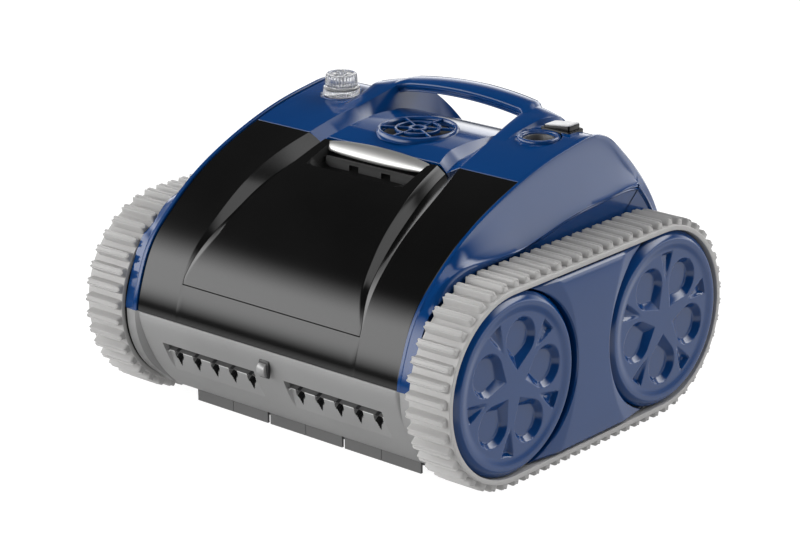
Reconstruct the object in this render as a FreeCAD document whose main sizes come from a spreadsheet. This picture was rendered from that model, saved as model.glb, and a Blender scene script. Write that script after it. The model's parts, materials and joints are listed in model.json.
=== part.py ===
import FreeCAD, Part
import Sketcher
import math
import os

# Cordless tracked pool cleaner in millimetres. +Z is up, the front faces -Y, and +X is the side of the
# right-hand track. The origin is on the ground, midway between the four wheels.

Vector = FreeCAD.Vector
Rotation = FreeCAD.Rotation
ALONG_X = Rotation(Vector(0, 1, 0), 90)
ALONG_Y = Rotation(Vector(1, 0, 0), -90)
UPRIGHT = Rotation()

doc = FreeCAD.newDocument("PoolCleaner")
sheet = doc.addObject("Spreadsheet::Sheet", "dims")

# Driving dimensions: alias, value, what it is.
DIMENSIONS = [
    ("axle_reach", 104.0, "wheel axle to the middle of the cleaner"),
    ("axle_height", 92.0, "wheel axle above the ground"),
    ("disc_radius", 80.0, "wheel cover radius"),
    ("disc_back", 207.2, "back face of a wheel cover"),
    ("disc_face", 213.2, "main face of a wheel cover"),
    ("disc_rim", 215.5, "outer face of a wheel cover's rim"),
    ("belt_inner", 80.8, "track belt inner radius round a wheel"),
    ("belt_outer", 85.4, "track belt outer radius round a wheel"),
    ("belt_near", 170.0, "inboard edge of a track"),
    ("belt_far", 214.0, "outboard edge of a track"),
    ("lug_count", 66, "lugs on a track"),
    ("lug_width", 8.6, "width of a lug along the track"),
    ("drum_radius", 77.4, "wheel drum radius, under the track's drive teeth"),
    ("drive_tooth_root", 77.8, "radius of the tips of the track's drive teeth"),
    ("axle_radius", 8.0, "wheel axle radius"),
    ("bush_radius", 11.0, "wheel bush outer radius"),
    ("body_half", 154.0, "half width of the body between the side frames"),
    ("frame_face", 168.0, "outer face of a side frame"),
    ("skin", 3.0, "wall thickness of the covers"),
    ("floor_low", 14.0, "underside of the base tray"),
    ("band_top", 97.0, "seam between the bands and the covers"),
    ("cover_back", -26.0, "seam between the front cover and the deck"),
    ("seam_gap", 0.4, "gap at a seam between two covers"),
    ("lid_pivot_back", -172.8, "lid hinge axis, distance behind the middle"),
    ("lid_pivot_height", 133.0, "lid hinge axis above the ground"),
    ("lid_bead", 2.2, "radius of the bead round the lid hinge pin"),
    ("outlet_back", 21.4, "outlet axis behind the middle"),
    ("outlet_hole", 33.5, "hole in the deck for the outlet grille"),
    ("dial_reach", 116.3, "valve knob and charging port axes from the centre line"),
    ("dial_back", 48.1, "valve knob and charging port axes behind the middle"),
    ("socket_radius", 12.0, "charging socket bore radius"),
    ("gear_teeth", 60, "teeth of the drive gear on each rear wheel"),
    ("pinion_teeth", 15, "teeth of each drive pinion"),
    ("gear_module", 1.5, "module of the drive gears"),
    ("pinion_back", 47.3, "pinion axis behind the middle"),
    ("pin_radius", 1.2, "radius of the hinge pins"),
    ("rocker_middle", 120.0, "rocker pivot from the centre line"),
    ("rocker_height", 254.0, "rocker pivot above the ground"),
    ("flap_pivot_back", -99.5, "intake flap pivot, distance behind the middle"),
    ("flap_pivot_height", 18.8, "intake flap pivot above the ground"),
]
for row, (alias, value, note) in enumerate(DIMENSIONS, start=1):
    sheet.set("A%d" % row, note)
    sheet.set("B%d" % row, str(value))
    sheet.setAlias("B%d" % row, alias)
doc.recompute()


def size(alias):
    """The value of one cell of the sheet."""
    return float(sheet.get(alias))


# ---------------------------------------------------------------- helpers for parametric pieces

sub_parts = []


def place(piece, at, turn=UPRIGHT):
    """Turn a piece and bind its position to three expressions."""
    piece.Placement = FreeCAD.Placement(Vector(0, 0, 0), turn)
    for axis, expression in zip("xyz", at):
        piece.setExpression("Placement.Base." + axis, str(expression))


def box(name, at, extent):
    """A box from its low corner and its extent, each three expressions."""
    piece = doc.addObject("Part::Box", name)
    for side, expression in zip(("Length", "Width", "Height"), extent):
        piece.setExpression(side, str(expression))
    place(piece, at)
    return piece


def cylinder(name, radius, length, at, turn=UPRIGHT):
    """A cylinder from the middle of its low end."""
    piece = doc.addObject("Part::Cylinder", name)
    piece.setExpression("Radius", str(radius))
    piece.setExpression("Height", str(length))
    place(piece, at, turn)
    return piece


def ring(name, outer, inner, length, at, turn=UPRIGHT):
    """A straight ring: one cylinder less another."""
    rim = cylinder(name + "_rim", outer, length, at, turn)
    hole = cylinder(name + "_hole", inner, length, at, turn)
    return cut(name, rim, hole)


def fuse(name, *pieces):
    """Join pieces into one."""
    piece = doc.addObject("Part::MultiFuse", name)
    piece.Shapes = list(pieces)
    return piece


def group(name, *pieces):
    """Separate solids kept together as one sub-part."""
    piece = doc.addObject("Part::Compound", name)
    piece.Links = list(pieces)
    return piece


def cut(name, base, *tools):
    """Take the tools away from the base."""
    tool = tools[0]
    if len(tools) > 1:
        tool = fuse(name + "_tools", *tools)
    piece = doc.addObject("Part::Cut", name)
    piece.Base = base
    piece.Tool = tool
    return piece


def mirror(name, source):
    """The same piece on the other side of the centre line."""
    piece = doc.addObject("Part::Mirroring", name)
    piece.Source = source
    piece.Normal = Vector(1, 0, 0)
    return piece


def fixed_shape(name, shape):
    """A piece whose shape is worked out here from the sheet's sizes."""
    piece = doc.addObject("Part::Feature", name)
    piece.Shape = shape
    return piece


def sub_part(piece, label):
    """Name a finished piece: its label is its node's name."""
    piece.Label = label
    sub_parts.append(piece)
    return piece


# ---------------------------------------------------------------- outlines shared by the covers

FULL = 400.0
FRONT_CURVE = [(-139, 14), (-154.7, 29.5), (-172, 56), (-181, 77.5), (-185.2, 97), (-182.8, 110), (-177.2, 127),
               (-168.5, 147), (-156.5, 164), (-141, 178.3), (-108, 203), (-71, 222), (-26, 238.8)]
DECK_CURVE = [(17, 249.8), (52, 255.3), (76, 256.6), (92, 251.5), (112, 236), (135, 213), (153, 191), (168, 165)]
REAR_CURVE = [(178, 138), (183.6, 116), (185.2, 97), (181, 77.5), (172, 56), (154.7, 29.5), (139, 14)]
BODY_CURVE = FRONT_CURVE + DECK_CURVE + REAR_CURVE
WELL_CURVE = [(-40, 235), (-26, 238.4), (-8, 242.2), (21, 246), (57, 245), (90, 240), (130, 229)]
PROUD = 1.5


def curve_through(points, drop):
    """A smooth curve in the YZ plane through points given as (y, z), moved inwards (down) by drop."""
    line = Part.BSplineCurve()
    line.interpolate([Vector(0, y, z) for y, z in points])
    if drop == 0:
        return line
    moved = []
    for y, z in points:
        along = line.tangent(line.parameter(Vector(0, y, z)))[0]
        moved.append(Vector(0, y + drop * along.z, z - drop * along.y))
    inner = Part.BSplineCurve()
    inner.interpolate(moved)
    return inner


def under(points, drop, low_x, high_x, foot):
    """The solid below a curve that runs from front to rear, down to foot, between two planes across."""
    edge = curve_through(points, drop).toShape()
    front = edge.Vertexes[0].Point
    rear = edge.Vertexes[1].Point
    corners = [rear, Vector(0, rear.y, foot), Vector(0, front.y, foot), front]
    sides = [Part.makeLine(a, b) for a, b in zip(corners, corners[1:]) if a.distanceToPoint(b) > 1e-6]
    face = Part.Face(Part.Wire([edge] + sides))
    solid = face.extrude(Vector(high_x - low_x, 0, 0))
    solid.translate(Vector(low_x, 0, 0))
    return solid


def block(low, high):
    """A plain box between two corners."""
    return Part.makeBox(high[0] - low[0], high[1] - low[1], high[2] - low[2], Vector(*low))


def prism_along_x(points, low_x, high_x):
    """A straight-sided outline in (y, z), run across the cleaner."""
    corners = [Vector(low_x, y, z) for y, z in points]
    face = Part.Face(Part.makePolygon(corners + corners[:1]))
    return face.extrude(Vector(high_x - low_x, 0, 0))


half = size("body_half")
skin = size("skin")
gap = size("seam_gap") / 2
seam_z = size("band_top")
seam_y = size("cover_back")
floor_low = size("floor_low")
body_solid = under(BODY_CURVE, 0, -half, half, floor_low)
body_skin = body_solid.cut(under(BODY_CURVE, skin, -half, half, 0))


# ---------------------------------------------------------------- bands, vents, hook and cover

VENT_NEAR, VENT_FAR, VENT_LOW, VENT_HIGH = 18.0, 130.0, 44.0, 70.0
VENT_EDGE = 0.3
VENT_FOOT_Y, VENT_HEAD_Y, VENT_THICK = -164.0, -168.5, 3.5
NOTCHES = 5
NOTCH_HALF, NOTCH_LOW, NOTCH_HIGH = 4.5, 50.0, 62.0


def vent_windows():
    """The two openings of the front band."""
    right = block((VENT_NEAR, -200, VENT_LOW), (VENT_FAR, -150, VENT_HIGH))
    return right.fuse(right.mirror(Vector(0, 0, 0), Vector(1, 0, 0)))


def vent_plate(side):
    """The sunk, notched plate behind one window."""
    low, high = VENT_LOW + VENT_EDGE, VENT_HIGH - VENT_EDGE
    outline = [(VENT_FOOT_Y, low), (VENT_HEAD_Y, high),
               (VENT_HEAD_Y + VENT_THICK, high), (VENT_FOOT_Y + VENT_THICK, low)]
    plate = prism_along_x(outline, VENT_NEAR + VENT_EDGE, VENT_FAR - VENT_EDGE)
    pitch = (VENT_FAR - VENT_NEAR) / NOTCHES
    for i in range(NOTCHES):
        middle = VENT_NEAR + pitch * (i + 0.5)
        plate = plate.cut(block((middle - NOTCH_HALF, -FULL, NOTCH_LOW), (middle + NOTCH_HALF, 0, NOTCH_HIGH)))
    if side < 0:
        plate = plate.mirror(Vector(0, 0, 0), Vector(1, 0, 0))
    return plate


lower_zone = block((-FULL, -FULL, 0), (FULL, -100, seam_z - gap))
front_band = body_skin.common(lower_zone).cut(vent_windows())
rear_zone = block((-FULL, 100, 0), (FULL, FULL, seam_z - gap))
sub_part(fixed_shape("FrontBand", front_band), "front_band")
sub_part(fixed_shape("RearBand", body_skin.common(rear_zone)), "rear_band")
sub_part(fixed_shape("FrontVents", Part.makeCompound([vent_plate(1), vent_plate(-1)])), "front_vents")

HOOK_HALF, HOOK_FRONT, HOOK_LOW, HOOK_HIGH, HOOK_EYE = 4.5, -189.5, 72.0, 85.0, 2.5
hook_slot = Part.makeCylinder(HOOK_EYE, 4 * HOOK_HALF, Vector(-2 * HOOK_HALF, HOOK_FRONT + 4, 78), Vector(1, 0, 0))
hook = block((-HOOK_HALF, HOOK_FRONT, HOOK_LOW), (HOOK_HALF, HOOK_FRONT + 20, HOOK_HIGH))
hook = hook.cut(body_solid).cut(hook_slot)
sub_part(fixed_shape("TowHook", hook.Solids[0]), "tow_hook")

# Half widths of the lid at stations from its foot to its top edge, as (y, x).
LID_EDGE = [(-200, 105.3), (-170, 105.3), (-158, 98), (-138, 92.5), (-115, 84), (-69, 74), (-20, 62)]


def lid_outline(margin):
    """The lid's outline in plan, grown by margin on each side, as a tall prism."""
    right = [Vector(x + margin, y, 0) for y, x in LID_EDGE]
    left = [Vector(-p.x, p.y, 0) for p in reversed(right)]
    face = Part.Face(Part.makePolygon(right + left + right[:1]))
    return face.extrude(Vector(0, 0, FULL))


pivot_y = size("lid_pivot_back")
pivot_z = size("lid_pivot_height")
bead = size("lid_bead")
pin = size("pin_radius")
pin_fit = 0.05
lid_half = LID_EDGE[0][1]

cover_zone = block((-FULL, -FULL, seam_z + gap), (FULL, seam_y - gap, FULL))
LID_GAP = 0.6
HINGE_LUG_HALF = 6.0
window_foot = pivot_z - bead - 0.4
window = lid_outline(LID_GAP).common(block((-FULL, -FULL, window_foot), (FULL, FULL, FULL)))
front_cover = body_skin.common(cover_zone).cut(window)
hinge_lug = block((lid_half + 0.8, pivot_y - HINGE_LUG_HALF, pivot_z - HINGE_LUG_HALF + 1),
                  (lid_half + 7, pivot_y + HINGE_LUG_HALF, pivot_z + HINGE_LUG_HALF + 1))
hinge_lug = hinge_lug.common(body_solid)
pin_start = Vector(-lid_half - 5.5, pivot_y, pivot_z)
pin_hole = Part.makeCylinder(pin + 0.01, 2 * lid_half + 11, pin_start, Vector(1, 0, 0))
front_cover = front_cover.fuse([hinge_lug, hinge_lug.mirror(Vector(0, 0, 0), Vector(1, 0, 0))]).cut(pin_hole)
sub_part(fixed_shape("FrontCover", front_cover.removeSplitter()), "front_cover")

hinge_pin = cylinder("LidHingePin", "dims.pin_radius", 2 * lid_half + 10,
                     (-lid_half - 5, "dims.lid_pivot_back", "dims.lid_pivot_height"), ALONG_X)
sub_part(hinge_pin, "lid_hinge_pin")


# ---------------------------------------------------------------- filter lid, lip and latch

RECESS_HALF, RECESS_FRONT, RECESS_BACK, RECESS_FLOOR = 56.0, -63.0, -40.0, 214.0
TUB_WALL = 2.0
LATCH_HALF, LATCH_Y, LATCH_Z = 42.0, -48.0, 228.5


def lip_solid():
    """The bright bar along the lid's top edge: round ends, widest in the middle."""
    length = 66.0
    stations = [-0.985, -0.8, -0.5, 0.0, 0.5, 0.8, 0.985]
    wires = []
    for station in stations:
        swell = math.sqrt(1 - station * station)
        across = 1.2 + 4.6 * swell
        deep = 1.0 + 2.8 * swell
        ellipse = Part.Ellipse(Vector(0, 0, 0), across, deep).toShape()
        ellipse.rotate(Vector(0, 0, 0), Vector(0, 0, 1), 90)
        ellipse.rotate(Vector(0, 0, 0), Vector(0, 1, 0), 90)
        ellipse.rotate(Vector(0, 0, 0), Vector(1, 0, 0), 38)
        ellipse.translate(Vector(station * length, -33.0, 234.5))
        wires.append(Part.Wire([ellipse]))
    return Part.makeLoft(wires, True)


lip = lip_solid()
lid_zone = block((-FULL, -FULL, pivot_z), (FULL, seam_y - 1.4, FULL))
lid = body_skin.common(lid_outline(0)).common(lid_zone)
lid = lid.cut(block((-RECESS_HALF, RECESS_FRONT, 200), (RECESS_HALF, RECESS_BACK, FULL)))
tub = block((-RECESS_HALF - TUB_WALL, RECESS_FRONT - TUB_WALL, RECESS_FLOOR - TUB_WALL),
            (RECESS_HALF + TUB_WALL, RECESS_BACK + TUB_WALL, FULL))
tub = tub.cut(block((-RECESS_HALF, RECESS_FRONT, RECESS_FLOOR), (RECESS_HALF, RECESS_BACK, FULL + 1)))
bead_half = 104.8
bead_rod = Part.makeCylinder(bead, 2 * bead_half, Vector(-bead_half, pivot_y, pivot_z), Vector(1, 0, 0))
bead_bore = Part.makeCylinder(pin + pin_fit, 2 * lid_half, Vector(-lid_half, pivot_y, pivot_z), Vector(1, 0, 0))
lid = lid.fuse([tub.common(body_solid), bead_rod]).cut(bead_bore).cut(lip)
latch_seats = Part.makeCylinder(1.55, 2 * RECESS_HALF + 2.2, Vector(-RECESS_HALF - 1.1, LATCH_Y, LATCH_Z),
                                Vector(1, 0, 0))
lid = lid.cut(latch_seats)
sub_part(fixed_shape("FilterLid", lid), "filter_lid")
sub_part(fixed_shape("LidLip", lip), "lid_lip")

latch_plate = block((-LATCH_HALF, LATCH_Y - 1.2, 217), (LATCH_HALF, LATCH_Y + 1.2, LATCH_Z))
latch_rod = Part.makeCylinder(1.5, 2 * RECESS_HALF + 2, Vector(-RECESS_HALF - 1, LATCH_Y, LATCH_Z), Vector(1, 0, 0))
latch_barrel = Part.makeCylinder(2.4, 2 * LATCH_HALF, Vector(-LATCH_HALF, LATCH_Y, LATCH_Z), Vector(1, 0, 0))
latch = latch_plate.fuse([latch_rod, latch_barrel])
for middle in (-16, 16):
    latch = latch.cut(block((middle - 6, -80, 216), (middle + 6, -20, 225)))
sub_part(fixed_shape("LidLatch", latch), "lid_latch")


# ---------------------------------------------------------------- deck, handle

WELL_HALF, WELL_WALL, WELL_REAR = 72.0, 3.0, 119.0
RAIL_FAR = 93.0
outlet_y = size("outlet_back")
dial_x = size("dial_reach")
dial_y = size("dial_back")
ROCKER_BOX = [(104.0, 66.0), (136.0, 86.0)]

deck_zone = block((-FULL, seam_y + gap, seam_z + gap), (FULL, FULL, FULL))
deck = body_skin.common(deck_zone)
deck = deck.cut(block((-WELL_HALF, -FULL, 200), (WELL_HALF, WELL_REAR, FULL)))
well_reach = WELL_HALF + WELL_WALL
well_zone = block((-well_reach, seam_y + gap, 200), (well_reach, WELL_REAR, FULL))
WELL_FOOT = 150
well_solid = under(WELL_CURVE, 0, -well_reach, well_reach, WELL_FOOT)
well_under = under(WELL_CURVE, skin, -well_reach, well_reach, WELL_FOOT)
well_floor = well_solid.cut(well_under).common(well_zone).common(body_solid)
walls = [block((WELL_HALF, seam_y + gap, 225), (well_reach, WELL_REAR, FULL)),
         block((-well_reach, seam_y + gap, 225), (-WELL_HALF, WELL_REAR, FULL))]
walls = [wall.common(body_solid).cut(well_under) for wall in walls]
deck = deck.fuse([well_floor] + walls)
openings = [
    Part.makeCylinder(size("outlet_hole"), 60, Vector(0, outlet_y, 220)),
    Part.makeCylinder(11.0, 60, Vector(-dial_x, dial_y, 220)),
    Part.makeCylinder(14.0, 60, Vector(dial_x, dial_y, 220)),
    block((ROCKER_BOX[0][0], ROCKER_BOX[0][1], 220), (ROCKER_BOX[1][0], ROCKER_BOX[1][1], 300)),
]
for opening in openings:
    deck = deck.cut(opening)
sub_part(fixed_shape("UpperShell", deck.removeSplitter()), "upper_shell")

RAIL = [(26, 230), (26, 251.6), (82, 264.3), (98, 266), (111, 262.5), (129, 240), (129, 212)]
BAR_FRONT, BAR_BACK = 83.0, 110.0


def handle_bar():
    """The arched bar between the rails: two arcs joined at their ends and run from front to back."""
    end = WELL_HALF + 10
    top = Part.Arc(Vector(-end, 0, 265), Vector(0, 0, 273.4), Vector(end, 0, 265)).toShape()
    low = Part.Arc(Vector(end, 0, 256.5), Vector(0, 0, 263.5), Vector(-end, 0, 256.5)).toShape()
    sides = [Part.makeLine(Vector(end, 0, 265), Vector(end, 0, 256.5)),
             Part.makeLine(Vector(-end, 0, 256.5), Vector(-end, 0, 265))]
    face = Part.Face(Part.Wire([top, sides[0], low, sides[1]]))
    face.translate(Vector(0, BAR_FRONT, 0))
    return face.extrude(Vector(0, BAR_BACK - BAR_FRONT, 0))


rail = prism_along_x(RAIL, WELL_HALF, RAIL_FAR)
handle = rail.fuse([rail.mirror(Vector(0, 0, 0), Vector(1, 0, 0)), handle_bar()])
handle = handle.cut(body_solid)
sub_part(fixed_shape("CarryHandle", handle.removeSplitter()), "carry_handle")


# ---------------------------------------------------------------- outlet, impeller and pump

GRILLE_TOP, GRILLE_OUTER, GRILLE_INNER, GRILLE_SLEEVE = 251.0, 36.0, 31.0, 33.3
BAR_LOW, BAR_HIGH = 246.5, 249.5
SPOKES, SPOKE_WIDE = 6, 2.2
MESH_Z, MESH_THICK = 242.0, 1.2
centre = Vector(0, outlet_y, 0)


def tube(outer, inner, low, high, middle):
    """A straight upright tube."""
    start = Vector(middle.x, middle.y, low)
    return Part.makeCylinder(outer, high - low, start).cut(Part.makeCylinder(inner, high - low, start))


def spoke(angle, width, near, far, low, high):
    """One upright-sided bar pointing away from the outlet's axis."""
    bar = block((near, -width / 2, low), (far, width / 2, high))
    bar.rotate(Vector(0, 0, 0), Vector(0, 0, 1), angle)
    bar.translate(centre)
    return bar


collar = tube(GRILLE_OUTER, GRILLE_INNER, 236, GRILLE_TOP, centre).cut(well_solid)
sleeve = tube(GRILLE_SLEEVE, GRILLE_INNER, MESH_Z - 1, GRILLE_TOP, centre)
grille_rings = [tube(8.5, 5.5, BAR_LOW, BAR_HIGH, centre), tube(20.5, 18.5, BAR_LOW, BAR_HIGH, centre)]
spokes = [spoke(360 / SPOKES * (i + 0.5), SPOKE_WIDE, 7, GRILLE_INNER + 0.5, BAR_LOW, BAR_HIGH)
          for i in range(SPOKES)]
grille = collar.fuse([sleeve] + grille_rings + spokes)
sub_part(fixed_shape("OutletGrille", grille), "outlet_grille")

mesh_disc = Part.makeCylinder(GRILLE_INNER - 0.2, MESH_THICK, Vector(0, outlet_y, MESH_Z))
for count, radius in ((6, 9.0), (12, 17.0), (18, 25.0)):
    for i in range(count):
        turn = 2 * math.pi * i / count
        hole = Vector(radius * math.cos(turn), outlet_y + radius * math.sin(turn), MESH_Z - 1)
        mesh_disc = mesh_disc.cut(Part.makeCylinder(2.6, MESH_THICK + 2, hole))
sub_part(fixed_shape("OutletMesh", mesh_disc), "outlet_mesh")

duct = tube(35, 32, 170, 240.5, centre).common(under(WELL_CURVE, skin + 0.1, -60, 60, WELL_FOOT))
sub_part(fixed_shape("PumpDuct", duct), "pump_duct")


def impeller_shape():
    """A hub with five pitched blades, trimmed to run inside the duct."""
    hub = Part.makeCylinder(11, 24, Vector(0, 0, 205))
    blades = []
    for i in range(5):
        blade = block((0, -1.2, -14), (40, 1.2, 14))
        blade.rotate(Vector(0, 0, 0), Vector(1, 0, 0), 50)
        blade.translate(Vector(0, 0, 217))
        blade.rotate(Vector(0, 0, 0), Vector(0, 0, 1), 72 * i)
        blades.append(blade)
    limit = Part.makeCylinder(30.5, 20, Vector(0, 0, 207))
    swept = hub.fuse([blade.common(limit) for blade in blades])
    swept = swept.cut(Part.makeCylinder(4.0, 14, Vector(0, 0, 205)))
    swept.translate(centre)
    return swept


sub_part(fixed_shape("Impeller", impeller_shape()), "impeller")
sub_part(cylinder("ImpellerShaft", 4, 77, (0, "dims.outlet_back", 142)), "impeller_shaft")
sub_part(ring("ShaftSeal", 9, 4.06, 5, (0, "dims.outlet_back", 165)), "shaft_seal")

motor_can = cylinder("PumpMotorCan", 22, 106, (0, "dims.outlet_back", 52))
motor_bore = cylinder("PumpMotorBore", 4.06, 20, (0, "dims.outlet_back", 140))
sub_part(cut("PumpMotor", motor_can, motor_bore), "pump_motor")

housing_outer = box("HousingOuter", (-95, -10, 40), (190, 160, 125))
housing_inner = box("HousingInner", (-92, -7, 43), (184, 154, 119))
shaft_hole = cylinder("HousingShaftHole", 4.5, 20, (0, "dims.outlet_back", 155))
sub_part(cut("MotorHousing", housing_outer, housing_inner, shaft_hole), "motor_housing")

sub_part(box("BatteryPack", (-85, 62, 46), (170, 78, 56)), "battery_pack")
board = box("Board", (-75, 62, 118), (150, 78, 2))
chips = [box("Chip%d" % i, (-60 + 40 * i, 75 + 12 * (i % 2), 120), (22, 22, 9)) for i in range(4)]
sub_part(fuse("ControlBoard", board, *chips), "control_board")


# ---------------------------------------------------------------- filter basket

BASKET_LOW, BASKET_HIGH = 62.0, 168.0
BASKET_HALF, BASKET_FRONT, BASKET_BACK, BASKET_WALL = 92.0, -138.0, -34.0, 2.0
MESH_LOW, MESH_HIGH, MESH_FRONT, MESH_BACK = 76.0, 154.0, -124.0, -48.0
END_WINDOWS, END_WIDE = (-80, 4), 76.0
CLOTH = 0.8
basket = block((-BASKET_HALF, BASKET_FRONT, BASKET_LOW), (BASKET_HALF, BASKET_BACK, BASKET_HIGH))
basket_room = BASKET_HALF - BASKET_WALL
basket = basket.cut(block((-basket_room, BASKET_FRONT + BASKET_WALL, BASKET_LOW + BASKET_WALL),
                          (basket_room, BASKET_BACK - BASKET_WALL, BASKET_HIGH + 1)))
side_windows = [block((x, MESH_FRONT, MESH_LOW), (x + 34, MESH_BACK, MESH_HIGH)) for x in (-110, 76)]
end_windows = [block((x, -160, MESH_LOW), (x + END_WIDE, -10, MESH_HIGH)) for x in END_WINDOWS]
mesh_panels = []
for opening in side_windows + end_windows:
    basket = basket.cut(opening)
for x in (-91.4, 90.6):
    mesh_panels.append(block((x, MESH_FRONT, MESH_LOW), (x + CLOTH, MESH_BACK, MESH_HIGH)))
for x in END_WINDOWS:
    for y in (-137.4, -35.4):
        mesh_panels.append(block((x, y, MESH_LOW), (x + END_WIDE, y + CLOTH, MESH_HIGH)))
for x in (-105, 25):
    basket = basket.cut(block((max(x, -88), -93, 60), (min(x + 80, 88), -67, 66)))
sub_part(fixed_shape("FilterBasket", basket), "filter_basket")
sub_part(fixed_shape("BasketMesh", Part.makeCompound(mesh_panels)), "basket_mesh")


# ---------------------------------------------------------------- charging port, valve knob, rocker switch

port = Vector(dial_x, dial_y, 0)
knob = Vector(-dial_x, dial_y, 0)
sub_part(fixed_shape("ChargeRing", tube(17.6, 14, 240, 257.8, port).cut(body_solid)), "charge_ring")
socket_bore = size("socket_radius")
socket = tube(13.8, socket_bore, 236, 257.0, port).fuse(Part.makeCylinder(13.8, 4, Vector(dial_x, dial_y, 236)))
sub_part(fixed_shape("ChargeSocket", socket), "charge_socket")

sub_part(fixed_shape("ValveSeat", tube(17.5, 10.06, 240, 258.4, knob).cut(body_solid)), "valve_seat")
o_ring = doc.addObject("Part::Torus", "ValveORing")
o_ring.Radius1 = 13.0
o_ring.Radius2 = 0.95
place(o_ring, ("-dims.dial_reach", "dims.dial_back", 259.35))
sub_part(o_ring, "valve_o_ring")


KNOB_STEM, KNOB_GRIP, KNOB_GRIP_LOW, FLUTES = 10.0, 15.6, 260.6, 20


def knob_shape():
    """A turning cap with a grip of upright flutes, a stem below and a smaller crown above."""
    stem = Part.makeCylinder(KNOB_STEM, 20, Vector(0, 0, 242))
    grip = Part.makeCylinder(KNOB_GRIP, 9, Vector(0, 0, KNOB_GRIP_LOW))
    for i in range(FLUTES):
        turn = 2 * math.pi * i / FLUTES
        reach = KNOB_GRIP + 1.0
        at = Vector(reach * math.cos(turn), reach * math.sin(turn), 260)
        grip = grip.cut(Part.makeCylinder(1.7, 12, at))
    crown = Part.makeCone(12.5, 11.0, 7.4, Vector(0, 0, KNOB_GRIP_LOW + 9))
    shape = stem.fuse([grip, crown])
    shape.translate(knob)
    return shape


sub_part(fixed_shape("ValveKnob", knob_shape()), "valve_knob")

rocker_x = size("rocker_middle")
rocker_z = size("rocker_height")
(bezel_x0, bezel_y0), (bezel_x1, bezel_y1) = ROCKER_BOX
bezel = block((bezel_x0, bezel_y0, 247), (bezel_x1, bezel_y1, 258.6))
bezel = bezel.cut(block((bezel_x0 + 2.5, bezel_y0 + 2.5, 240), (bezel_x1 - 2.5, bezel_y1 - 2.5, 260)))
rocker_hole = Part.makeCylinder(1.01, 40, Vector(rocker_x, bezel_y0 - 5, rocker_z), Vector(0, 1, 0))
sub_part(fixed_shape("RockerBezel", bezel.cut(rocker_hole)), "rocker_bezel")

ROCKER_OUTLINE = [(-9, -3), (9, -3), (12.8, 12), (-13.5, 5.8)]
corners = [Vector(rocker_x + x, bezel_y0 + 3.0, rocker_z + z) for x, z in ROCKER_OUTLINE]
rocker = Part.Face(Part.makePolygon(corners + corners[:1])).extrude(Vector(0, bezel_y1 - bezel_y0 - 6.0, 0))
rocker = rocker.cut(Part.makeCylinder(1.05, 40, Vector(rocker_x, bezel_y0 - 5, rocker_z), Vector(0, 1, 0)))
sub_part(fixed_shape("PowerRocker", rocker), "power_rocker")
sub_part(box("SwitchModule", (108, 69, 226), (24, 14, 18)), "switch_module")


# ---------------------------------------------------------------- base tray, flaps, wipers, pins, screws

axle_y = size("axle_reach")
axle_z = size("axle_height")
flap_y = size("flap_pivot_back")
flap_z = size("flap_pivot_height")
MOUTH_NEAR, MOUTH_FAR, MOUTH_FRONT, MOUTH_BACK = 20.0, 110.0, -95.0, -65.0
FLOOR_HALF_Y, FLOOR_THICK, WALL_IN = 134.0, 3.0, 150.0
SCREWS = [(x, y) for x in (-132, 132) for y in (-110, 0, 110)]

tray_face = half - 0.4
tray = block((-tray_face, -FLOOR_HALF_Y, floor_low), (tray_face, FLOOR_HALF_Y, floor_low + FLOOR_THICK))
for side in (-1, 1):
    low_x, high_x = sorted((side * WALL_IN, side * tray_face))
    tray = tray.fuse(block((low_x, -FLOOR_HALF_Y, floor_low), (high_x, FLOOR_HALF_Y, seam_z - 4)))
    low_x, high_x = sorted((side * MOUTH_NEAR, side * MOUTH_FAR))
    tray = tray.cut(block((low_x, MOUTH_FRONT, 0), (high_x, MOUTH_BACK, 30)))
    ears = []
    for x in (side * (MOUTH_NEAR - 6), side * (MOUTH_FAR + 6)):
        ears.append(block((x - 2, flap_y - 3, floor_low + 1), (x + 2, flap_y + 3, flap_z + 3)))
    tray = tray.fuse(ears)
    low_x = side * 142
    for y in (-axle_y, axle_y):
        direction = Vector(side, 0, 0)
        tray = tray.fuse(Part.makeCylinder(14, 9, Vector(low_x, y, axle_z), direction))
        tray = tray.cut(Part.makeCylinder(size("axle_radius"), 30, Vector(low_x - side, y, axle_z), direction))
    motor_start = Vector(side * 140, size("pinion_back"), axle_z)
    tray = tray.cut(Part.makeCylinder(17.2, 20, motor_start, Vector(side, 0, 0)))
for x, y in SCREWS:
    tray = tray.cut(Part.makeCylinder(2.0, 30, Vector(x, y, 0)))
flap_bore = Part.makeCylinder(pin + 0.01, 2 * FULL, Vector(-FULL, flap_y, flap_z), Vector(1, 0, 0))
tray = tray.cut(flap_bore.common(block((-FULL, flap_y - 2, floor_low), (FULL, flap_y + 2, flap_z + 3))))
sub_part(fixed_shape("BaseTray", tray.removeSplitter()), "base_tray")

flap_low = floor_low + FLOOR_THICK + 0.3
flap_plate = block((MOUTH_NEAR - 3, flap_y, flap_low), (MOUTH_FAR + 3, MOUTH_BACK + 3, flap_low + 2))
flap_barrel = Part.makeCylinder(1.9, MOUTH_FAR - MOUTH_NEAR + 6, Vector(MOUTH_NEAR - 3, flap_y, flap_z + 0.4),
                                Vector(1, 0, 0))
flap_hole = Part.makeCylinder(pin + pin_fit, FULL, Vector(0, flap_y, flap_z), Vector(1, 0, 0))
flap = flap_plate.fuse(flap_barrel).cut(flap_hole)
right_flap = sub_part(fixed_shape("IntakeFlapRight", flap), "intake_flap_right")
sub_part(mirror("IntakeFlapLeft", right_flap), "intake_flap_left")

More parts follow.
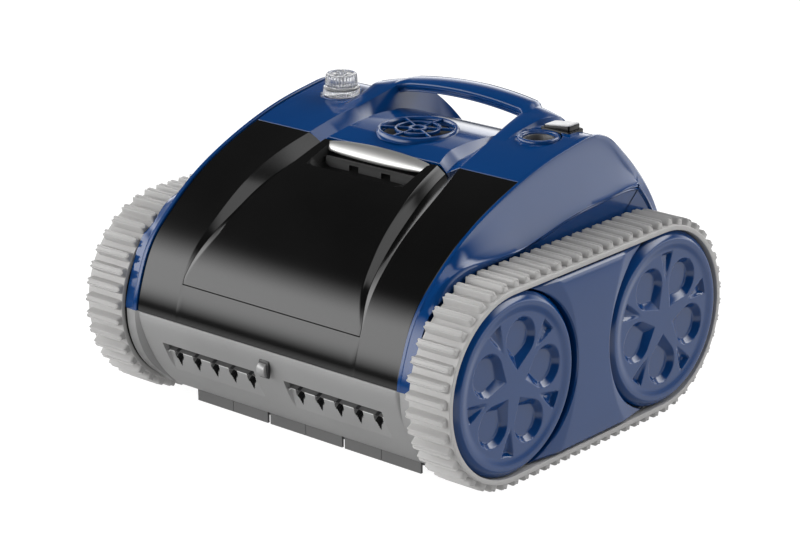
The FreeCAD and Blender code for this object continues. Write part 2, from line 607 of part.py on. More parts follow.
pin_length = MOUTH_FAR - MOUTH_NEAR + 16
flap_pin = cylinder("FlapPinRight", "dims.pin_radius", pin_length,
                    (MOUTH_NEAR - 8, "dims.flap_pivot_back", "dims.flap_pivot_height"), ALONG_X)
flap_pin_left = cylinder("FlapPinLeft", "dims.pin_radius", pin_length,
                         (-MOUTH_FAR - 8, "dims.flap_pivot_back", "dims.flap_pivot_height"), ALONG_X)
rocker_pin = cylinder("RockerPin", 1, bezel_y1 - bezel_y0, ("dims.rocker_middle", bezel_y0, "dims.rocker_height"),
                      ALONG_Y)
sub_part(group("HingePins", flap_pin, flap_pin_left, rocker_pin), "hinge_pins")

WIPER_HALF, WIPER_Y, WIPER_THICK, WIPER_LOW = 134.0, 131.0, 2.4, 0.8
# Six flaps in pairs: the inner number is where a flap starts, the outer where it ends.
WIPER_SPANS = [(0.3, 43.1), (46.3, 88.7), (89.3, WIPER_HALF)]


def wiper_row(side):
    """Six flaps across the cleaner, at the front (-1) or the rear (1)."""
    low_y, high_y = sorted((side * WIPER_Y, side * (WIPER_Y + WIPER_THICK)))
    flaps = []
    for near, far in WIPER_SPANS:
        flaps.append(block((near, low_y, WIPER_LOW), (far, high_y, floor_low)))
        flaps.append(block((-far, low_y, WIPER_LOW), (-near, high_y, floor_low)))
    return flaps


sub_part(fixed_shape("WiperFlaps", Part.makeCompound(wiper_row(-1) + wiper_row(1))), "wiper_flaps")
brackets = [box("WiperBracketFront", (-WIPER_HALF - 1.5, -WIPER_Y, 8), (2 * WIPER_HALF + 3, 6, 6)),
            box("WiperBracketRear", (-WIPER_HALF - 1.5, WIPER_Y - 6, 8), (2 * WIPER_HALF + 3, 6, 6))]
sub_part(group("WiperBrackets", *brackets), "wiper_brackets")

screws = []
for i, (x, y) in enumerate(SCREWS):
    head = cylinder("ScrewHead%d" % i, 4.5, 2.4, (x, y, "dims.floor_low - 2.4"))
    shank = cylinder("ScrewShank%d" % i, 1.95, 12, (x, y, "dims.floor_low"))
    screws.append(fuse("Screw%d" % i, head, shank))
sub_part(group("ShellScrews", *screws), "shell_screws")


# ---------------------------------------------------------------- side frames, arms and side covers

frame_face = size("frame_face")
FRAME_NEAR = half + 0.3
FACET_TOP, FACET_TOP_X, FACET_FOOT = 258.0, 156.0, 196.0
CORNER_REACH = 125.0


def side_frame_shape():
    """One side frame: a rim that follows the body, an outer wall, and a sloping facet above the track."""
    whole = under(BODY_CURVE, -PROUD, FRAME_NEAR, frame_face, floor_low - 1)
    hollow = under(BODY_CURVE, skin, FRAME_NEAR - 1, frame_face - 5, 0)
    hollow = hollow.common(block((0, -FULL, 0), (FULL, FULL, 205)))
    frame = whole.cut(hollow)
    slope = Part.Face(Part.makePolygon([
        Vector(FACET_TOP_X, 0, FACET_TOP), Vector(frame_face, 0, FACET_FOOT), Vector(frame_face + 20, 0, FACET_FOOT),
        Vector(frame_face + 20, 0, FACET_TOP + 20), Vector(FACET_TOP_X, 0, FACET_TOP + 20),
        Vector(FACET_TOP_X, 0, FACET_TOP)]))
    slope.translate(Vector(0, -FULL, 0))
    frame = frame.cut(slope.extrude(Vector(0, 2 * FULL, 0)))
    for y in (-axle_y, axle_y):
        frame = frame.cut(Part.makeCylinder(size("axle_radius"), 60, Vector(140, y, axle_z), Vector(1, 0, 0)))
    return frame.cut(Part.makeCylinder(6, 60, Vector(140, size("pinion_back"), axle_z), Vector(1, 0, 0)))


def below_the_seam(margin):
    """The two zones of a side frame, front and rear, that are finished like the bands."""
    front = block((0, -FULL, 0), (FULL, margin - CORNER_REACH, seam_z + margin))
    return front.fuse(front.mirror(Vector(0, 0, 0), Vector(0, 1, 0)))


frame_shape = side_frame_shape()
right_frame = sub_part(fixed_shape("SideFrameRight", frame_shape.cut(below_the_seam(gap))), "side_frame_right")
sub_part(mirror("SideFrameLeft", right_frame), "side_frame_left")
corner_shape = frame_shape.common(below_the_seam(-gap))
right_corners = sub_part(fixed_shape("BandCornersRight", corner_shape), "band_corners_right")
sub_part(mirror("BandCornersLeft", right_corners), "band_corners_left")

arm_outer = box("ArmOuter", ("dims.frame_face", -20, "dims.axle_height - 30"), (206 - frame_face, 40, 60))
arm_inner = box("ArmInner", ("dims.frame_face - 1", -16, "dims.axle_height - 26"), (202 - frame_face, 32, 52))
arm = cut("WheelArmRight", arm_outer, arm_inner)
arm_left = mirror("WheelArmLeft", arm)
sub_part(group("WheelArms", arm, arm_left), "wheel_arms")

COVER_BACK, COVER_FACE, COVER_CLEAR = 206.0, 216.5, 1.2


def origin_plane(body, role):
    """One of a body's own origin planes."""
    return next(item for item in body.Origin.OriginFeatures if item.Role == role)


def sketch_on(body, name, role, lift):
    """A sketch on a plane parallel to one of the body's origin planes."""
    sketch = body.newObject("Sketcher::SketchObject", name)
    sketch.AttachmentSupport = (origin_plane(body, role), "")
    sketch.MapMode = "FlatFace"
    sketch.setExpression("AttachmentOffset.Base.z", str(lift))
    return sketch


def cover_outline(sketch, wheel_radius, half_height):
    """Straight top and bottom, and a hollow arc round each wheel. Drawn about the cleaner's middle."""
    reach = math.sqrt(wheel_radius ** 2 - half_height ** 2)
    corner = axle_y - reach
    start = math.atan2(half_height, -reach)
    normal = Vector(0, 0, 1)
    sketch.addGeometry(Part.LineSegment(Vector(-corner, half_height, 0), Vector(corner, half_height, 0)), False)
    sketch.addGeometry(Part.LineSegment(Vector(-corner, -half_height, 0), Vector(corner, -half_height, 0)), False)
    rear = Part.Circle(Vector(axle_y, 0, 0), normal, wheel_radius)
    sketch.addGeometry(Part.ArcOfCircle(rear, start, 2 * math.pi - start), False)
    front = Part.Circle(Vector(-axle_y, 0, 0), normal, wheel_radius)
    sketch.addGeometry(Part.ArcOfCircle(front, start - math.pi, math.pi - start), False)


def pad(body, name, sketch, length):
    """Raise a sketch into a solid."""
    feature = body.newObject("PartDesign::Pad", name)
    feature.Profile = sketch
    feature.setExpression("Length", str(length))
    return feature


def pocket(body, name, sketch, depth, back=False):
    """Sink a sketch into the solid."""
    feature = body.newObject("PartDesign::Pocket", name)
    feature.Profile = sketch
    feature.setExpression("Length", str(depth))
    feature.Reversed = back
    return feature


side_cover = doc.addObject("PartDesign::Body", "SideCoverRight")
outline = sketch_on(side_cover, "CoverOutline", "YZ_Plane", COVER_BACK)
cover_outline(outline, size("disc_radius") + COVER_CLEAR, size("disc_radius") - 0.2)
pad(side_cover, "CoverPad", outline, COVER_FACE - COVER_BACK)
hollow = sketch_on(side_cover, "CoverHollow", "YZ_Plane", COVER_BACK)
cover_outline(hollow, size("disc_radius") + COVER_CLEAR + skin, size("disc_radius") - 0.2 - skin)
pocket(side_cover, "CoverPocket", hollow, COVER_FACE - COVER_BACK - skin, True)
side_cover.setExpression("Placement.Base.z", "dims.axle_height")
sub_part(side_cover, "side_cover_right")
sub_part(mirror("SideCoverLeft", side_cover), "side_cover_left")


# ---------------------------------------------------------------- wheels

PETALS = 5
DISH_RADIUS = 73.0
PETAL_NEAR, PETAL_FAR, PETAL_NARROW, PETAL_WIDE, PETAL_DEEP = 24.0, 45.0, 5.0, 15.0, 3.0


def wheel_cover(name, label, y, turn):
    """A disc with a raised rim, five petal-shaped recesses and five small wedges between them."""
    body = doc.addObject("PartDesign::Body", name)
    rim = sketch_on(body, name + "Rim", "YZ_Plane", "dims.disc_back")
    disc = rim.addGeometry(Part.Circle(Vector(0, 0, 0), Vector(0, 0, 1), size("disc_radius")), False)
    radius = rim.addConstraint(Sketcher.Constraint("Radius", disc, size("disc_radius")))
    rim.setExpression("Constraints[%d]" % radius, "dims.disc_radius")
    pad(body, name + "Disc", rim, "dims.disc_rim - dims.disc_back")
    dish = sketch_on(body, name + "Dish", "YZ_Plane", "dims.disc_rim")
    dish.addGeometry(Part.Circle(Vector(0, 0, 0), Vector(0, 0, 1), DISH_RADIUS), False)
    pocket(body, name + "Face", dish, "dims.disc_rim - dims.disc_face")
    petal = sketch_on(body, name + "Petal", "YZ_Plane", "dims.disc_face")
    near, far, narrow, wide = PETAL_NEAR, PETAL_FAR, PETAL_NARROW, PETAL_WIDE
    lean = math.acos((wide - narrow) / (far - near))
    out = Vector(math.cos(lean), math.sin(lean), 0)
    down = Vector(out.x, -out.y, 0)
    big, small = Vector(far, 0, 0), Vector(near, 0, 0)
    for edge in (out, down):
        touch = Vector(-edge.x, edge.y, 0)
        petal.addGeometry(Part.LineSegment(small + touch * narrow, big + touch * wide), False)
    angle = math.pi - lean
    petal.addGeometry(Part.ArcOfCircle(Part.Circle(big, Vector(0, 0, 1), wide), -angle, angle), False)
    petal.addGeometry(Part.ArcOfCircle(Part.Circle(small, Vector(0, 0, 1), narrow), angle, 2 * math.pi - angle), False)
    recess = pocket(body, name + "Recess", petal, PETAL_DEEP)
    doc.recompute()
    pattern = body.newObject("PartDesign::PolarPattern", name + "Petals")
    pattern.Originals = [recess]
    pattern.Axis = (next(item for item in body.Origin.OriginFeatures if item.Role == "X_Axis"), [""])
    pattern.Angle = 360.0
    pattern.Occurrences = PETALS
    body.Tip = pattern
    body.Placement = FreeCAD.Placement(Vector(0, 0, 0), Rotation(Vector(1, 0, 0), turn))
    body.setExpression("Placement.Base.y", y)
    body.setExpression("Placement.Base.z", "dims.axle_height")
    return sub_part(body, label)


def tooth_outline(teeth, tip, root, tip_share, root_share, first):
    """A gear's outline as straight flanks: teeth of a given share of the pitch at the tip and the root."""
    corners = []
    for i in range(teeth):
        middle = first + 2 * math.pi * i / teeth
        for radius, share in ((root, -root_share), (tip, -tip_share), (tip, tip_share), (root, root_share)):
            turn = middle + share * math.pi / teeth
            corners.append(Vector(0, radius * math.cos(turn), radius * math.sin(turn)))
    return Part.Face(Part.makePolygon(corners + corners[:1]))


GEAR_BACK, GEAR_FACE = 170.5, 176.5
HUB_BACK, HUB_FACE, RIM_BACK = 176.5, 205.0, 180.0
module = size("gear_module")
ADDENDUM, DEDENDUM = 0.62, 1.15
TIP_SHARE, ROOT_SHARE = 0.30, 0.58


def wheel_drum(y, geared):
    """Hub, web and rim of a wheel, with the drive gear moulded on the inner side of a driven one."""
    start = Vector(0, y, axle_z)
    across = Vector(1, 0, 0)

    def disc(radius, low_x, high_x):
        return Part.makeCylinder(radius, high_x - low_x, start + Vector(low_x, 0, 0), across)

    drum = disc(size("drum_radius"), RIM_BACK, size("disc_back")).cut(disc(74, RIM_BACK, size("disc_back")))
    drum = drum.fuse([disc(18, HUB_BACK, HUB_FACE), disc(75, 192, 197)])
    if geared:
        teeth = int(size("gear_teeth"))
        pitch = module * teeth / 2
        outline = tooth_outline(teeth, pitch + ADDENDUM * module, pitch - DEDENDUM * module, TIP_SHARE, ROOT_SHARE,
                                math.pi + math.pi / teeth)
        gear = outline.extrude(Vector(GEAR_FACE - GEAR_BACK, 0, 0))
        gear.translate(start + Vector(GEAR_BACK, 0, 0))
        drum = drum.fuse(gear)
    return drum.cut(disc(size("bush_radius") + 0.06, 160, 207))


WHEELS = [("front", -1, False, 8.0), ("rear", 1, True, -21.0)]
for end, sign, geared, turn in WHEELS:
    y_cell = ("-" if sign < 0 else "") + "dims.axle_reach"
    drum = fixed_shape("WheelRight" + end, wheel_drum(sign * axle_y, geared))
    sub_part(drum, "wheel_%s_right" % end)
    sub_part(mirror("WheelLeft" + end, drum), "wheel_%s_left" % end)
    disc = wheel_cover("WheelCoverRight" + end, "wheel_cover_%s_right" % end, y_cell, turn)
    sub_part(mirror("WheelCoverLeft" + end, disc), "wheel_cover_%s_left" % end)

axles = []
bushes = []
for end, sign, geared, turn in WHEELS:
    y_cell = ("-" if sign < 0 else "") + "dims.axle_reach"
    axle = cylinder("Axle" + end, "dims.axle_radius", 61, (143.5, y_cell, "dims.axle_height"), ALONG_X)
    bush = ring("Bush" + end, "dims.bush_radius", "dims.axle_radius", 26, (178, y_cell, "dims.axle_height"), ALONG_X)
    axles += [axle, mirror("Axle%sLeft" % end, axle)]
    bushes += [bush, mirror("Bush%sLeft" % end, bush)]
sub_part(group("WheelAxles", *axles), "wheel_axles")
sub_part(group("WheelBushes", *bushes), "wheel_bushes")


# ---------------------------------------------------------------- drive motors and pinions

pinion_count = int(size("pinion_teeth"))
pinion_pitch = module * pinion_count / 2
pinion_face = tooth_outline(pinion_count, pinion_pitch + ADDENDUM * module, pinion_pitch - DEDENDUM * module,
                            TIP_SHARE, ROOT_SHARE, 0)
pinion = pinion_face.extrude(Vector(GEAR_FACE - GEAR_BACK, 0, 0))
pinion.translate(Vector(GEAR_BACK, size("pinion_back"), axle_z))
pinion_shaft = Part.makeCylinder(3, 24, Vector(152, size("pinion_back"), axle_z), Vector(1, 0, 0))
right_pinion = sub_part(fixed_shape("DrivePinionRight", pinion.fuse(pinion_shaft)), "drive_pinion_right")
sub_part(mirror("DrivePinionLeft", right_pinion), "drive_pinion_left")

drive_can = cylinder("DriveMotorCan", 17, 62, (100, "dims.pinion_back", "dims.axle_height"), ALONG_X)
drive_bore = cylinder("DriveMotorBore", 3.06, 13, (149.5, "dims.pinion_back", "dims.axle_height"), ALONG_X)
drive_motor = cut("DriveMotorRight", drive_can, drive_bore)
sub_part(group("DriveMotors", drive_motor, mirror("DriveMotorLeft", drive_motor)), "drive_motors")


# ---------------------------------------------------------------- tracks

def stadium(radius, low_x, high_x):
    """The solid inside a belt of one radius round both wheels."""
    ends = [Part.makeCylinder(radius, high_x - low_x, Vector(low_x, y, axle_z), Vector(1, 0, 0))
            for y in (-axle_y, axle_y)]
    middle = block((low_x, -axle_y, axle_z - radius), (high_x, axle_y, axle_z + radius))
    return middle.fuse(ends).removeSplitter()


def along_track(distance, pitch_radius):
    """A point and its outward angle, a distance along the belt from the middle of the lower run."""
    straight = 2 * axle_y
    bend = math.pi * pitch_radius
    distance = distance % (2 * straight + 2 * bend)
    if distance < axle_y:
        return distance, axle_z, -math.pi / 2
    distance -= axle_y
    if distance < bend:
        return axle_y, axle_z, -math.pi / 2 + distance / pitch_radius
    distance -= bend
    if distance < straight:
        return axle_y - distance, axle_z, math.pi / 2
    distance -= straight
    if distance < bend:
        return -axle_y, axle_z, math.pi / 2 + distance / pitch_radius
    return -axle_y + distance - bend, axle_z, -math.pi / 2


def crossbar(distance, near, far, foot, tip, low_x, high_x):
    """One bar across the belt: (y, z) trapezium from its foot to its tip, turned to stand on the belt."""
    y, z, angle = along_track(distance, (size("belt_inner") + size("belt_outer")) / 2)
    out = Vector(0, math.cos(angle), math.sin(angle))
    side = Vector(0, -math.sin(angle), math.cos(angle))
    start = Vector(low_x, y, z)
    corners = [start + out * foot - side * near, start + out * tip - side * far,
               start + out * tip + side * far, start + out * foot + side * near]
    return Part.Face(Part.makePolygon(corners + corners[:1])).extrude(Vector(high_x - low_x, 0, 0))


def track_shape():
    """A belt with lugs outside and drive teeth inside."""
    near, far = size("belt_near"), size("belt_far")
    inner, outer = size("belt_inner"), size("belt_outer")
    lugs = int(size("lug_count"))
    length = 4 * axle_y + 2 * math.pi * (inner + outer) / 2
    pitch = length / lugs
    wide = size("lug_width") / 2
    belt = stadium(outer, near, far).cut(stadium(inner, near, far))
    bars = []
    for i in range(lugs):
        bars.append(crossbar(i * pitch, wide, wide - 0.9, outer - 0.6, axle_z, near + 0.6, far - 2))
        bars.append(crossbar(i * pitch, 2.6, 2.0, inner + 0.8, size("drive_tooth_root"), near + 12, far - 9))
    return belt.fuse(bars)


right_track = sub_part(fixed_shape("TrackRight", track_shape()), "track_right")
sub_part(mirror("TrackLeft", right_track), "track_left")


# ---------------------------------------------------------------- checks and export

doc.recompute()
for item in doc.Objects:
    if "Invalid" in item.State or "Error" in item.State:
        raise RuntimeError("%s did not build: %s" % (item.Name, item.State))
for item in sub_parts:
    if item.Shape.isNull() or not item.Shape.isValid() or not item.Shape.Solids:
        raise RuntimeError("%s has no valid solid" % item.Label)
os.makedirs("parts", exist_ok=True)
for item in sub_parts:
    item.Shape.exportStep("parts/%s.step" % item.Label)
    print("%-24s %2d solids %10.1f mm3" % (item.Label, len(item.Shape.Solids), item.Shape.Volume))
print(len(sub_parts), "sub-parts")
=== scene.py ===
import json
import math

import bpy
import bmesh
import numpy as np
from mathutils import Matrix, Vector


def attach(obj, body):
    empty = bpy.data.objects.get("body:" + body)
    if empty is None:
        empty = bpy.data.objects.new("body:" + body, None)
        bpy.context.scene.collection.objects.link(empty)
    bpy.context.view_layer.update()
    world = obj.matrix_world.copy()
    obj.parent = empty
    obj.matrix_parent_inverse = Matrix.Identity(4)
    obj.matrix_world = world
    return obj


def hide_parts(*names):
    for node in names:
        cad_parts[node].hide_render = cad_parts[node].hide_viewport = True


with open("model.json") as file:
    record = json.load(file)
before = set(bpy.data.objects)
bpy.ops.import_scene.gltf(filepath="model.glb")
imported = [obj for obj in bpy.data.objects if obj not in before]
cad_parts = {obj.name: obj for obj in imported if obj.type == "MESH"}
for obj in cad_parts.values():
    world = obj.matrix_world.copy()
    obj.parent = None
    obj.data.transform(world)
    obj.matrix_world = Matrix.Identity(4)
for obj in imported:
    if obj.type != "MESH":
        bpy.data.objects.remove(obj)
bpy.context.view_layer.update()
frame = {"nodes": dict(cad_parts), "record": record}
nodes = frame["nodes"]
MM = 0.001


# ---------------------------------------------------------------- camera
AZIMUTH, ELEVATION, ROLL = (math.radians(a) for a in (41.438, 18.955, -0.714))
LENS = 127.24
WHEEL_RADIUS = 0.08
# The camera's place from the middle of the wheels, right, up and back, in wheel radii.
CAMERA_OFFSET = (-0.048, 0.366, 31.975)
AXLE_MIDDLE = Vector((0, 0, 0.092))


def make_camera():
    right = Vector((math.cos(AZIMUTH), math.sin(AZIMUTH), 0))
    back = Vector((math.sin(AZIMUTH) * math.cos(ELEVATION),
                   -math.cos(AZIMUTH) * math.cos(ELEVATION),
                   math.sin(ELEVATION)))
    up = back.cross(right)
    c, s = math.cos(ROLL), math.sin(ROLL)
    axes = [c * right + s * up, -s * right + c * up, back]
    spot = AXLE_MIDDLE.copy()
    for axis, amount in zip(axes, CAMERA_OFFSET):
        spot += axis * (amount * WHEEL_RADIUS)
    data = bpy.data.cameras.new("camera")
    data.lens = LENS
    data.sensor_width = 36
    data.clip_start = 0.05
    data.clip_end = 60
    camera = bpy.data.objects.new("camera", data)
    bpy.context.scene.collection.objects.link(camera)
    camera.matrix_world = Matrix.Translation(spot) @ Matrix(axes).transposed().to_4x4()
    bpy.context.scene.camera = camera


# ---------------------------------------------------------------- materials
def rgba(r, g, b):
    return (r, g, b, 1.0)


class Finish:
    """A material built up node by node round its Principled shader."""

    def __init__(self, name):
        self.material = bpy.data.materials.new(name)
        self.material.use_nodes = True
        self.nodes = self.material.node_tree.nodes
        self.links = self.material.node_tree.links
        self.shader = self.nodes["Principled BSDF"]

    def node(self, kind, inputs):
        """A new node whose inputs are either constants or the outputs of other nodes."""
        made = self.nodes.new(kind)
        for name, value in inputs.items():
            if isinstance(value, bpy.types.NodeSocket):
                self.links.new(value, made.inputs[name])
            else:
                made.inputs[name].default_value = value
        return made

    def noise(self, scale, detail):
        """Noise in the object's own coordinates."""
        place = self.nodes.new("ShaderNodeTexCoord").outputs["Object"]
        made = self.node("ShaderNodeTexNoise", {"Vector": place, "Scale": scale, "Detail": detail})
        return made.outputs["Fac"]

    def ramp(self, source, stops):
        """A colour ramp through (position, colour) stops."""
        made = self.node("ShaderNodeValToRGB", {"Fac": source})
        elements = made.color_ramp.elements
        for i, (position, colour) in enumerate(stops):
            stop = elements[i] if i < 2 else elements.new(position)
            stop.position = position
            stop.color = colour
        return made.outputs["Color"]

    def spread(self, source, low, high):
        made = self.node("ShaderNodeMapRange", {"Value": source, "To Min": low, "To Max": high})
        return made.outputs["Result"]

    def set(self, **inputs):
        """Link or set inputs of the shader; an underscore in a name stands for a space."""
        for name, value in inputs.items():
            socket = self.shader.inputs[name.replace("_", " ")]
            if isinstance(value, bpy.types.NodeSocket):
                self.links.new(value, socket)
            else:
                socket.default_value = value


BROAD_SCALE = 9.0
GRAIN_STRENGTH = 0.4


def plastic(name, dark, light, rough, grain, depth, specular=0.5, ior=1.5, metallic=0.0):
    """A moulded finish: colour drifts between dark and light; a fine grain varies roughness and surface."""
    finish = Finish(name)
    broad = finish.noise(BROAD_SCALE, 3.0)
    fine = finish.noise(grain, 6.0)
    bump = finish.node("ShaderNodeBump", {"Strength": GRAIN_STRENGTH, "Distance": depth, "Height": fine})
    finish.set(Base_Color=finish.ramp(broad, [(0.3, rgba(*dark)), (0.7, rgba(*light))]),
               Roughness=finish.spread(fine, *rough), Normal=bump.outputs["Normal"],
               Metallic=metallic, IOR=ior, Specular_IOR_Level=specular)
    return finish.material


def clear(name):
    finish = Finish(name)
    fine = finish.noise(300.0, 3.0)
    finish.set(Roughness=finish.spread(fine, 0.02, 0.08), Transmission_Weight=0.84, IOR=1.46,
               Base_Color=finish.ramp(fine, [(0.3, rgba(0.93, 0.94, 0.96)), (0.7, rgba(0.99, 0.99, 1.0))]))
    return finish.material


# Darkest and lightest colour, roughness range, grain scale and grain depth in metres, and what else differs.
PLASTICS = {
    "blue_gloss": ((0.000, 0.033, 0.140), (0.001, 0.038, 0.155), (0.10, 0.16), 900, 0.00001, {}),
    "black_gloss": ((0.002, 0.002, 0.002), (0.004, 0.004, 0.004), (0.10, 0.16), 900, 0.00001, {"ior": 1.45}),
    "silver_band": ((0.27, 0.27, 0.27), (0.32, 0.32, 0.32), (0.32, 0.42), 2200, 0.00003, {"metallic": 0.35}),
    "chrome_trim": ((0.42, 0.42, 0.41), (0.48, 0.48, 0.47), (0.34, 0.40), 1200, 0.00001, {"metallic": 0.8}),
    "track_rubber": ((0.38, 0.375, 0.37), (0.44, 0.435, 0.43), (0.50, 0.62), 1600, 0.00004, {"ior": 1.45}),
    "dark_rubber": ((0.085, 0.085, 0.085), (0.10, 0.10, 0.10), (0.5, 0.65), 1500, 0.00004, {}),
    "dark_plastic": ((0.007, 0.007, 0.008), (0.012, 0.012, 0.013), (0.35, 0.5), 1200, 0.00003, {}),
    "grey_plastic": ((0.055, 0.055, 0.057), (0.075, 0.075, 0.078), (0.35, 0.5), 1200, 0.00003, {}),
    "steel": ((0.48, 0.49, 0.50), (0.58, 0.58, 0.60), (0.22, 0.34), 800, 0.00002, {"metallic": 1.0}),
    "mesh_fabric": ((0.05, 0.05, 0.05), (0.09, 0.09, 0.09), (0.6, 0.8), 1800, 0.0001, {}),
    "switch_silver": ((0.52, 0.52, 0.53), (0.60, 0.60, 0.61),
                      (0.30, 0.40), 1500, 0.00001, {"metallic": 0.15}),
    "board_green": ((0.01, 0.10, 0.03), (0.02, 0.15, 0.05), (0.35, 0.5), 1200, 0.00003, {}),
    "switch_black": ((0.004, 0.004, 0.005), (0.008, 0.008, 0.009),
                     (0.22, 0.3), 1500, 0.00001, {"specular": 0.2}),
    "latch_grey": ((0.026, 0.026, 0.026), (0.036, 0.036, 0.036),
                   (0.4, 0.5), 1500, 0.00001, {"specular": 0.3}),
    "recess_black": ((0.002, 0.002, 0.002), (0.004, 0.004, 0.004),
                     (0.5, 0.6), 1500, 0.00001, {"specular": 0.12}),
    # vent_ledge_painted_highlight: a painted highlight, a near-white grey on the thin edge of the vent ledge.
    "vent_ledge_painted_highlight": ((0.62, 0.62, 0.62), (0.72, 0.72, 0.72), (0.25, 0.35), 1500, 0.00001, {}),
    # vent_recess_painted_shade: painted shade, a darker grey on the vent recess above the ledge, where the
    # top overhang shades it.
    "vent_recess_painted_shade": ((0.10, 0.10, 0.10), (0.13, 0.13, 0.13), (0.4, 0.5), 2200, 0.00003, {}),
}
LOOKS = {name: plastic(name, *values, **extra) for name, (*values, extra) in PLASTICS.items()}
LOOKS["clear_plastic"] = clear("clear_plastic")

for part in frame["record"]["subparts"]:
    data = nodes[part["node"]].data
    data.materials.clear()
    data.materials.append(LOOKS[part["material_slot"]])


# ---------------------------------------------------------------- mesh helpers
class Smooth:
    """A natural cubic spline through points, measured along its chords."""

    def __init__(self, points):
        p = np.asarray(points, float)
        steps = np.linalg.norm(np.diff(p, axis=0), axis=1)
        self.knots = np.concatenate([[0.0], np.cumsum(steps)])
        self.points = p
        count = len(p)
        left = np.zeros((count, count))
        right = np.zeros_like(p)
        left[0, 0] = left[-1, -1] = 1.0
        for i in range(1, count - 1):
            left[i, i - 1] = steps[i - 1]
            left[i, i] = 2 * (steps[i - 1] + steps[i])
            left[i, i + 1] = steps[i]
            right[i] = 6 * ((p[i + 1] - p[i]) / steps[i] - (p[i] - p[i - 1]) / steps[i - 1])
        self.bend = np.linalg.solve(left, right)
        self.length = self.knots[-1]

    def at(self, t):
        t = np.atleast_1d(np.asarray(t, float))
        i = np.clip(np.searchsorted(self.knots, t, side="right") - 1, 0, len(self.knots) - 2)
        h = (self.knots[i + 1] - self.knots[i])[:, None]
        a = (self.knots[i + 1] - t)[:, None] / h
        b = (t - self.knots[i])[:, None] / h
        return (a * self.points[i] + b * self.points[i + 1]
                + ((a ** 3 - a) * self.bend[i] + (b ** 3 - b) * self.bend[i + 1]) * h * h / 6)

    def outward(self, t):
        """The unit normal to the left of the direction of travel, for a curve in a plane."""
        step = 0.01
        d = self.at(np.asarray(t) + step) - self.at(np.asarray(t) - step)
        d = d / np.linalg.norm(d, axis=1)[:, None]
        return np.stack([-d[:, 1], d[:, 0]], axis=1)

    def where(self, column, value, low=None, high=None):
        """The distance along the curve at which one coordinate has a value."""
        t = np.linspace(low if low is not None else 0, high if high is not None else self.length, 4000)
        return t[np.argmin(np.abs(self.at(t)[:, column] - value))]


def ease(x):
    """A smooth step from 0 to 1."""
    x = np.clip(x, 0, 1)
    return x * x * (3 - 2 * x)


def steps_between(a, b, step):
    """Even stations from a to b, about one step apart."""
    return np.linspace(a, b, max(2, int(round(abs(b - a) / step)) + 1))


# Points nearer to each other than WELD become one, and edges shorter than TINY go.
WELD, TINY = 0.02, 0.002


class Shape:
    """Points and faces gathered from grids before they become one mesh."""

    def __init__(self):
        self.points = []
        self.faces = []
        self.count = 0

    def grid(self, points, wrap_rows=False, wrap_columns=False, flip=False):
        """A sheet of four-sided faces through rows of points."""
        points = np.asarray(points, float)
        rows, columns = points.shape[:2]
        self.points.append(points.reshape(-1, 3))
        for i in range(rows if wrap_rows else rows - 1):
            for j in range(columns if wrap_columns else columns - 1):
                a = self.count + i * columns + j
                b = self.count + i * columns + (j + 1) % columns
                c = self.count + ((i + 1) % rows) * columns + (j + 1) % columns
                d = self.count + ((i + 1) % rows) * columns + j
                self.faces.append((a, d, c, b) if flip else (a, b, c, d))
        self.count += rows * columns
        return self

    def fan(self, ring, flip=False):
        """A flat cap over a closed ring of points."""
        ring = np.asarray(ring, float)
        self.points.append(ring)
        face = list(range(self.count, self.count + len(ring)))
        self.faces.append(tuple(reversed(face)) if flip else tuple(face))
        self.count += len(ring)
        return self

    def slab(self, front, back):
        """A closed sheet between two grids of the same size."""
        front, back = np.asarray(front, float), np.asarray(back, float)
        self.grid(front)
        self.grid(back, flip=True)
        self.grid(np.stack([back[0], front[0]]))
        self.grid(np.stack([front[-1], back[-1]]))
        self.grid(np.stack([front[:, 0], back[:, 0]]))
        self.grid(np.stack([back[:, -1], front[:, -1]]))
        return self

    def tube(self, rings, closed=False):
        """A tube through rings of points, capped at its ends unless it closes on itself."""
        rings = np.asarray(rings, float)
        self.grid(rings, wrap_rows=closed, wrap_columns=True)
        if not closed:
            self.fan(rings[0], flip=False)
            self.fan(rings[-1], flip=True)
        return self

    def mirrored(self):
        """The same shape on the other side of the centre line."""
        other = Shape()
        other.points = [p * np.array([-1, 1, 1]) for p in self.points]
        other.faces = [tuple(reversed(f)) for f in self.faces]
        other.count = self.count
        return other

    def add(self, other):
        self.points += other.points
        self.faces += [tuple(i + self.count for i in f) for f in other.faces]
        self.count += other.count
        return self

    def piece(self, name, look, body, stands_for=(), sharp=32, outward=True):
        """Make one Blender mesh of the shape, in metres, and tie it to its body and its CAD nodes."""
        mesh = bpy.data.meshes.new(name)
        mesh.from_pydata((np.concatenate(self.points) * MM).tolist(), [], self.faces)
        build = bmesh.new()
        build.from_mesh(mesh)
        bmesh.ops.remove_doubles(build, verts=build.verts, dist=WELD * MM)
        bmesh.ops.dissolve_degenerate(build, edges=build.edges, dist=TINY * MM)
        if outward:
            bmesh.ops.recalc_face_normals(build, faces=build.faces)
        build.to_mesh(mesh)
        build.free()
        mesh.shade_smooth()
        mesh.set_sharp_from_angle(angle=math.radians(sharp))
        mesh.materials.append(LOOKS[look])
        obj = bpy.data.objects.new(name, mesh)
        bpy.context.scene.collection.objects.link(obj)
        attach(obj, body)
        if stands_for:
            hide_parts(*stands_for)
        return obj

    def lathe(self, profile, centre, steps=72, flute=None):
        """A profile of (radius, height) turned about an upright axis; flute scales the radius."""
        angle = np.linspace(0, 2 * math.pi, steps, endpoint=False)
        rings = []
        for radius, height in profile:
            r = radius * (flute(angle, height) if flute else 1.0)
            x, y = centre[0] + r * np.cos(angle), centre[1] + r * np.sin(angle)
            rings.append(np.stack([x, y, np.full_like(angle, height)], axis=1))
        return self.grid(np.array(rings), wrap_columns=True)

    def pair(self, name, look, sharp):
        """The right-hand piece and its mirror image, each in place of the CAD node of its name."""
        for shape, side in ((self, "right"), (self.mirrored(), "left")):
            node = "%s_%s" % (name, side)
            shape.piece("look_" + node, look, "chassis", [node], sharp)


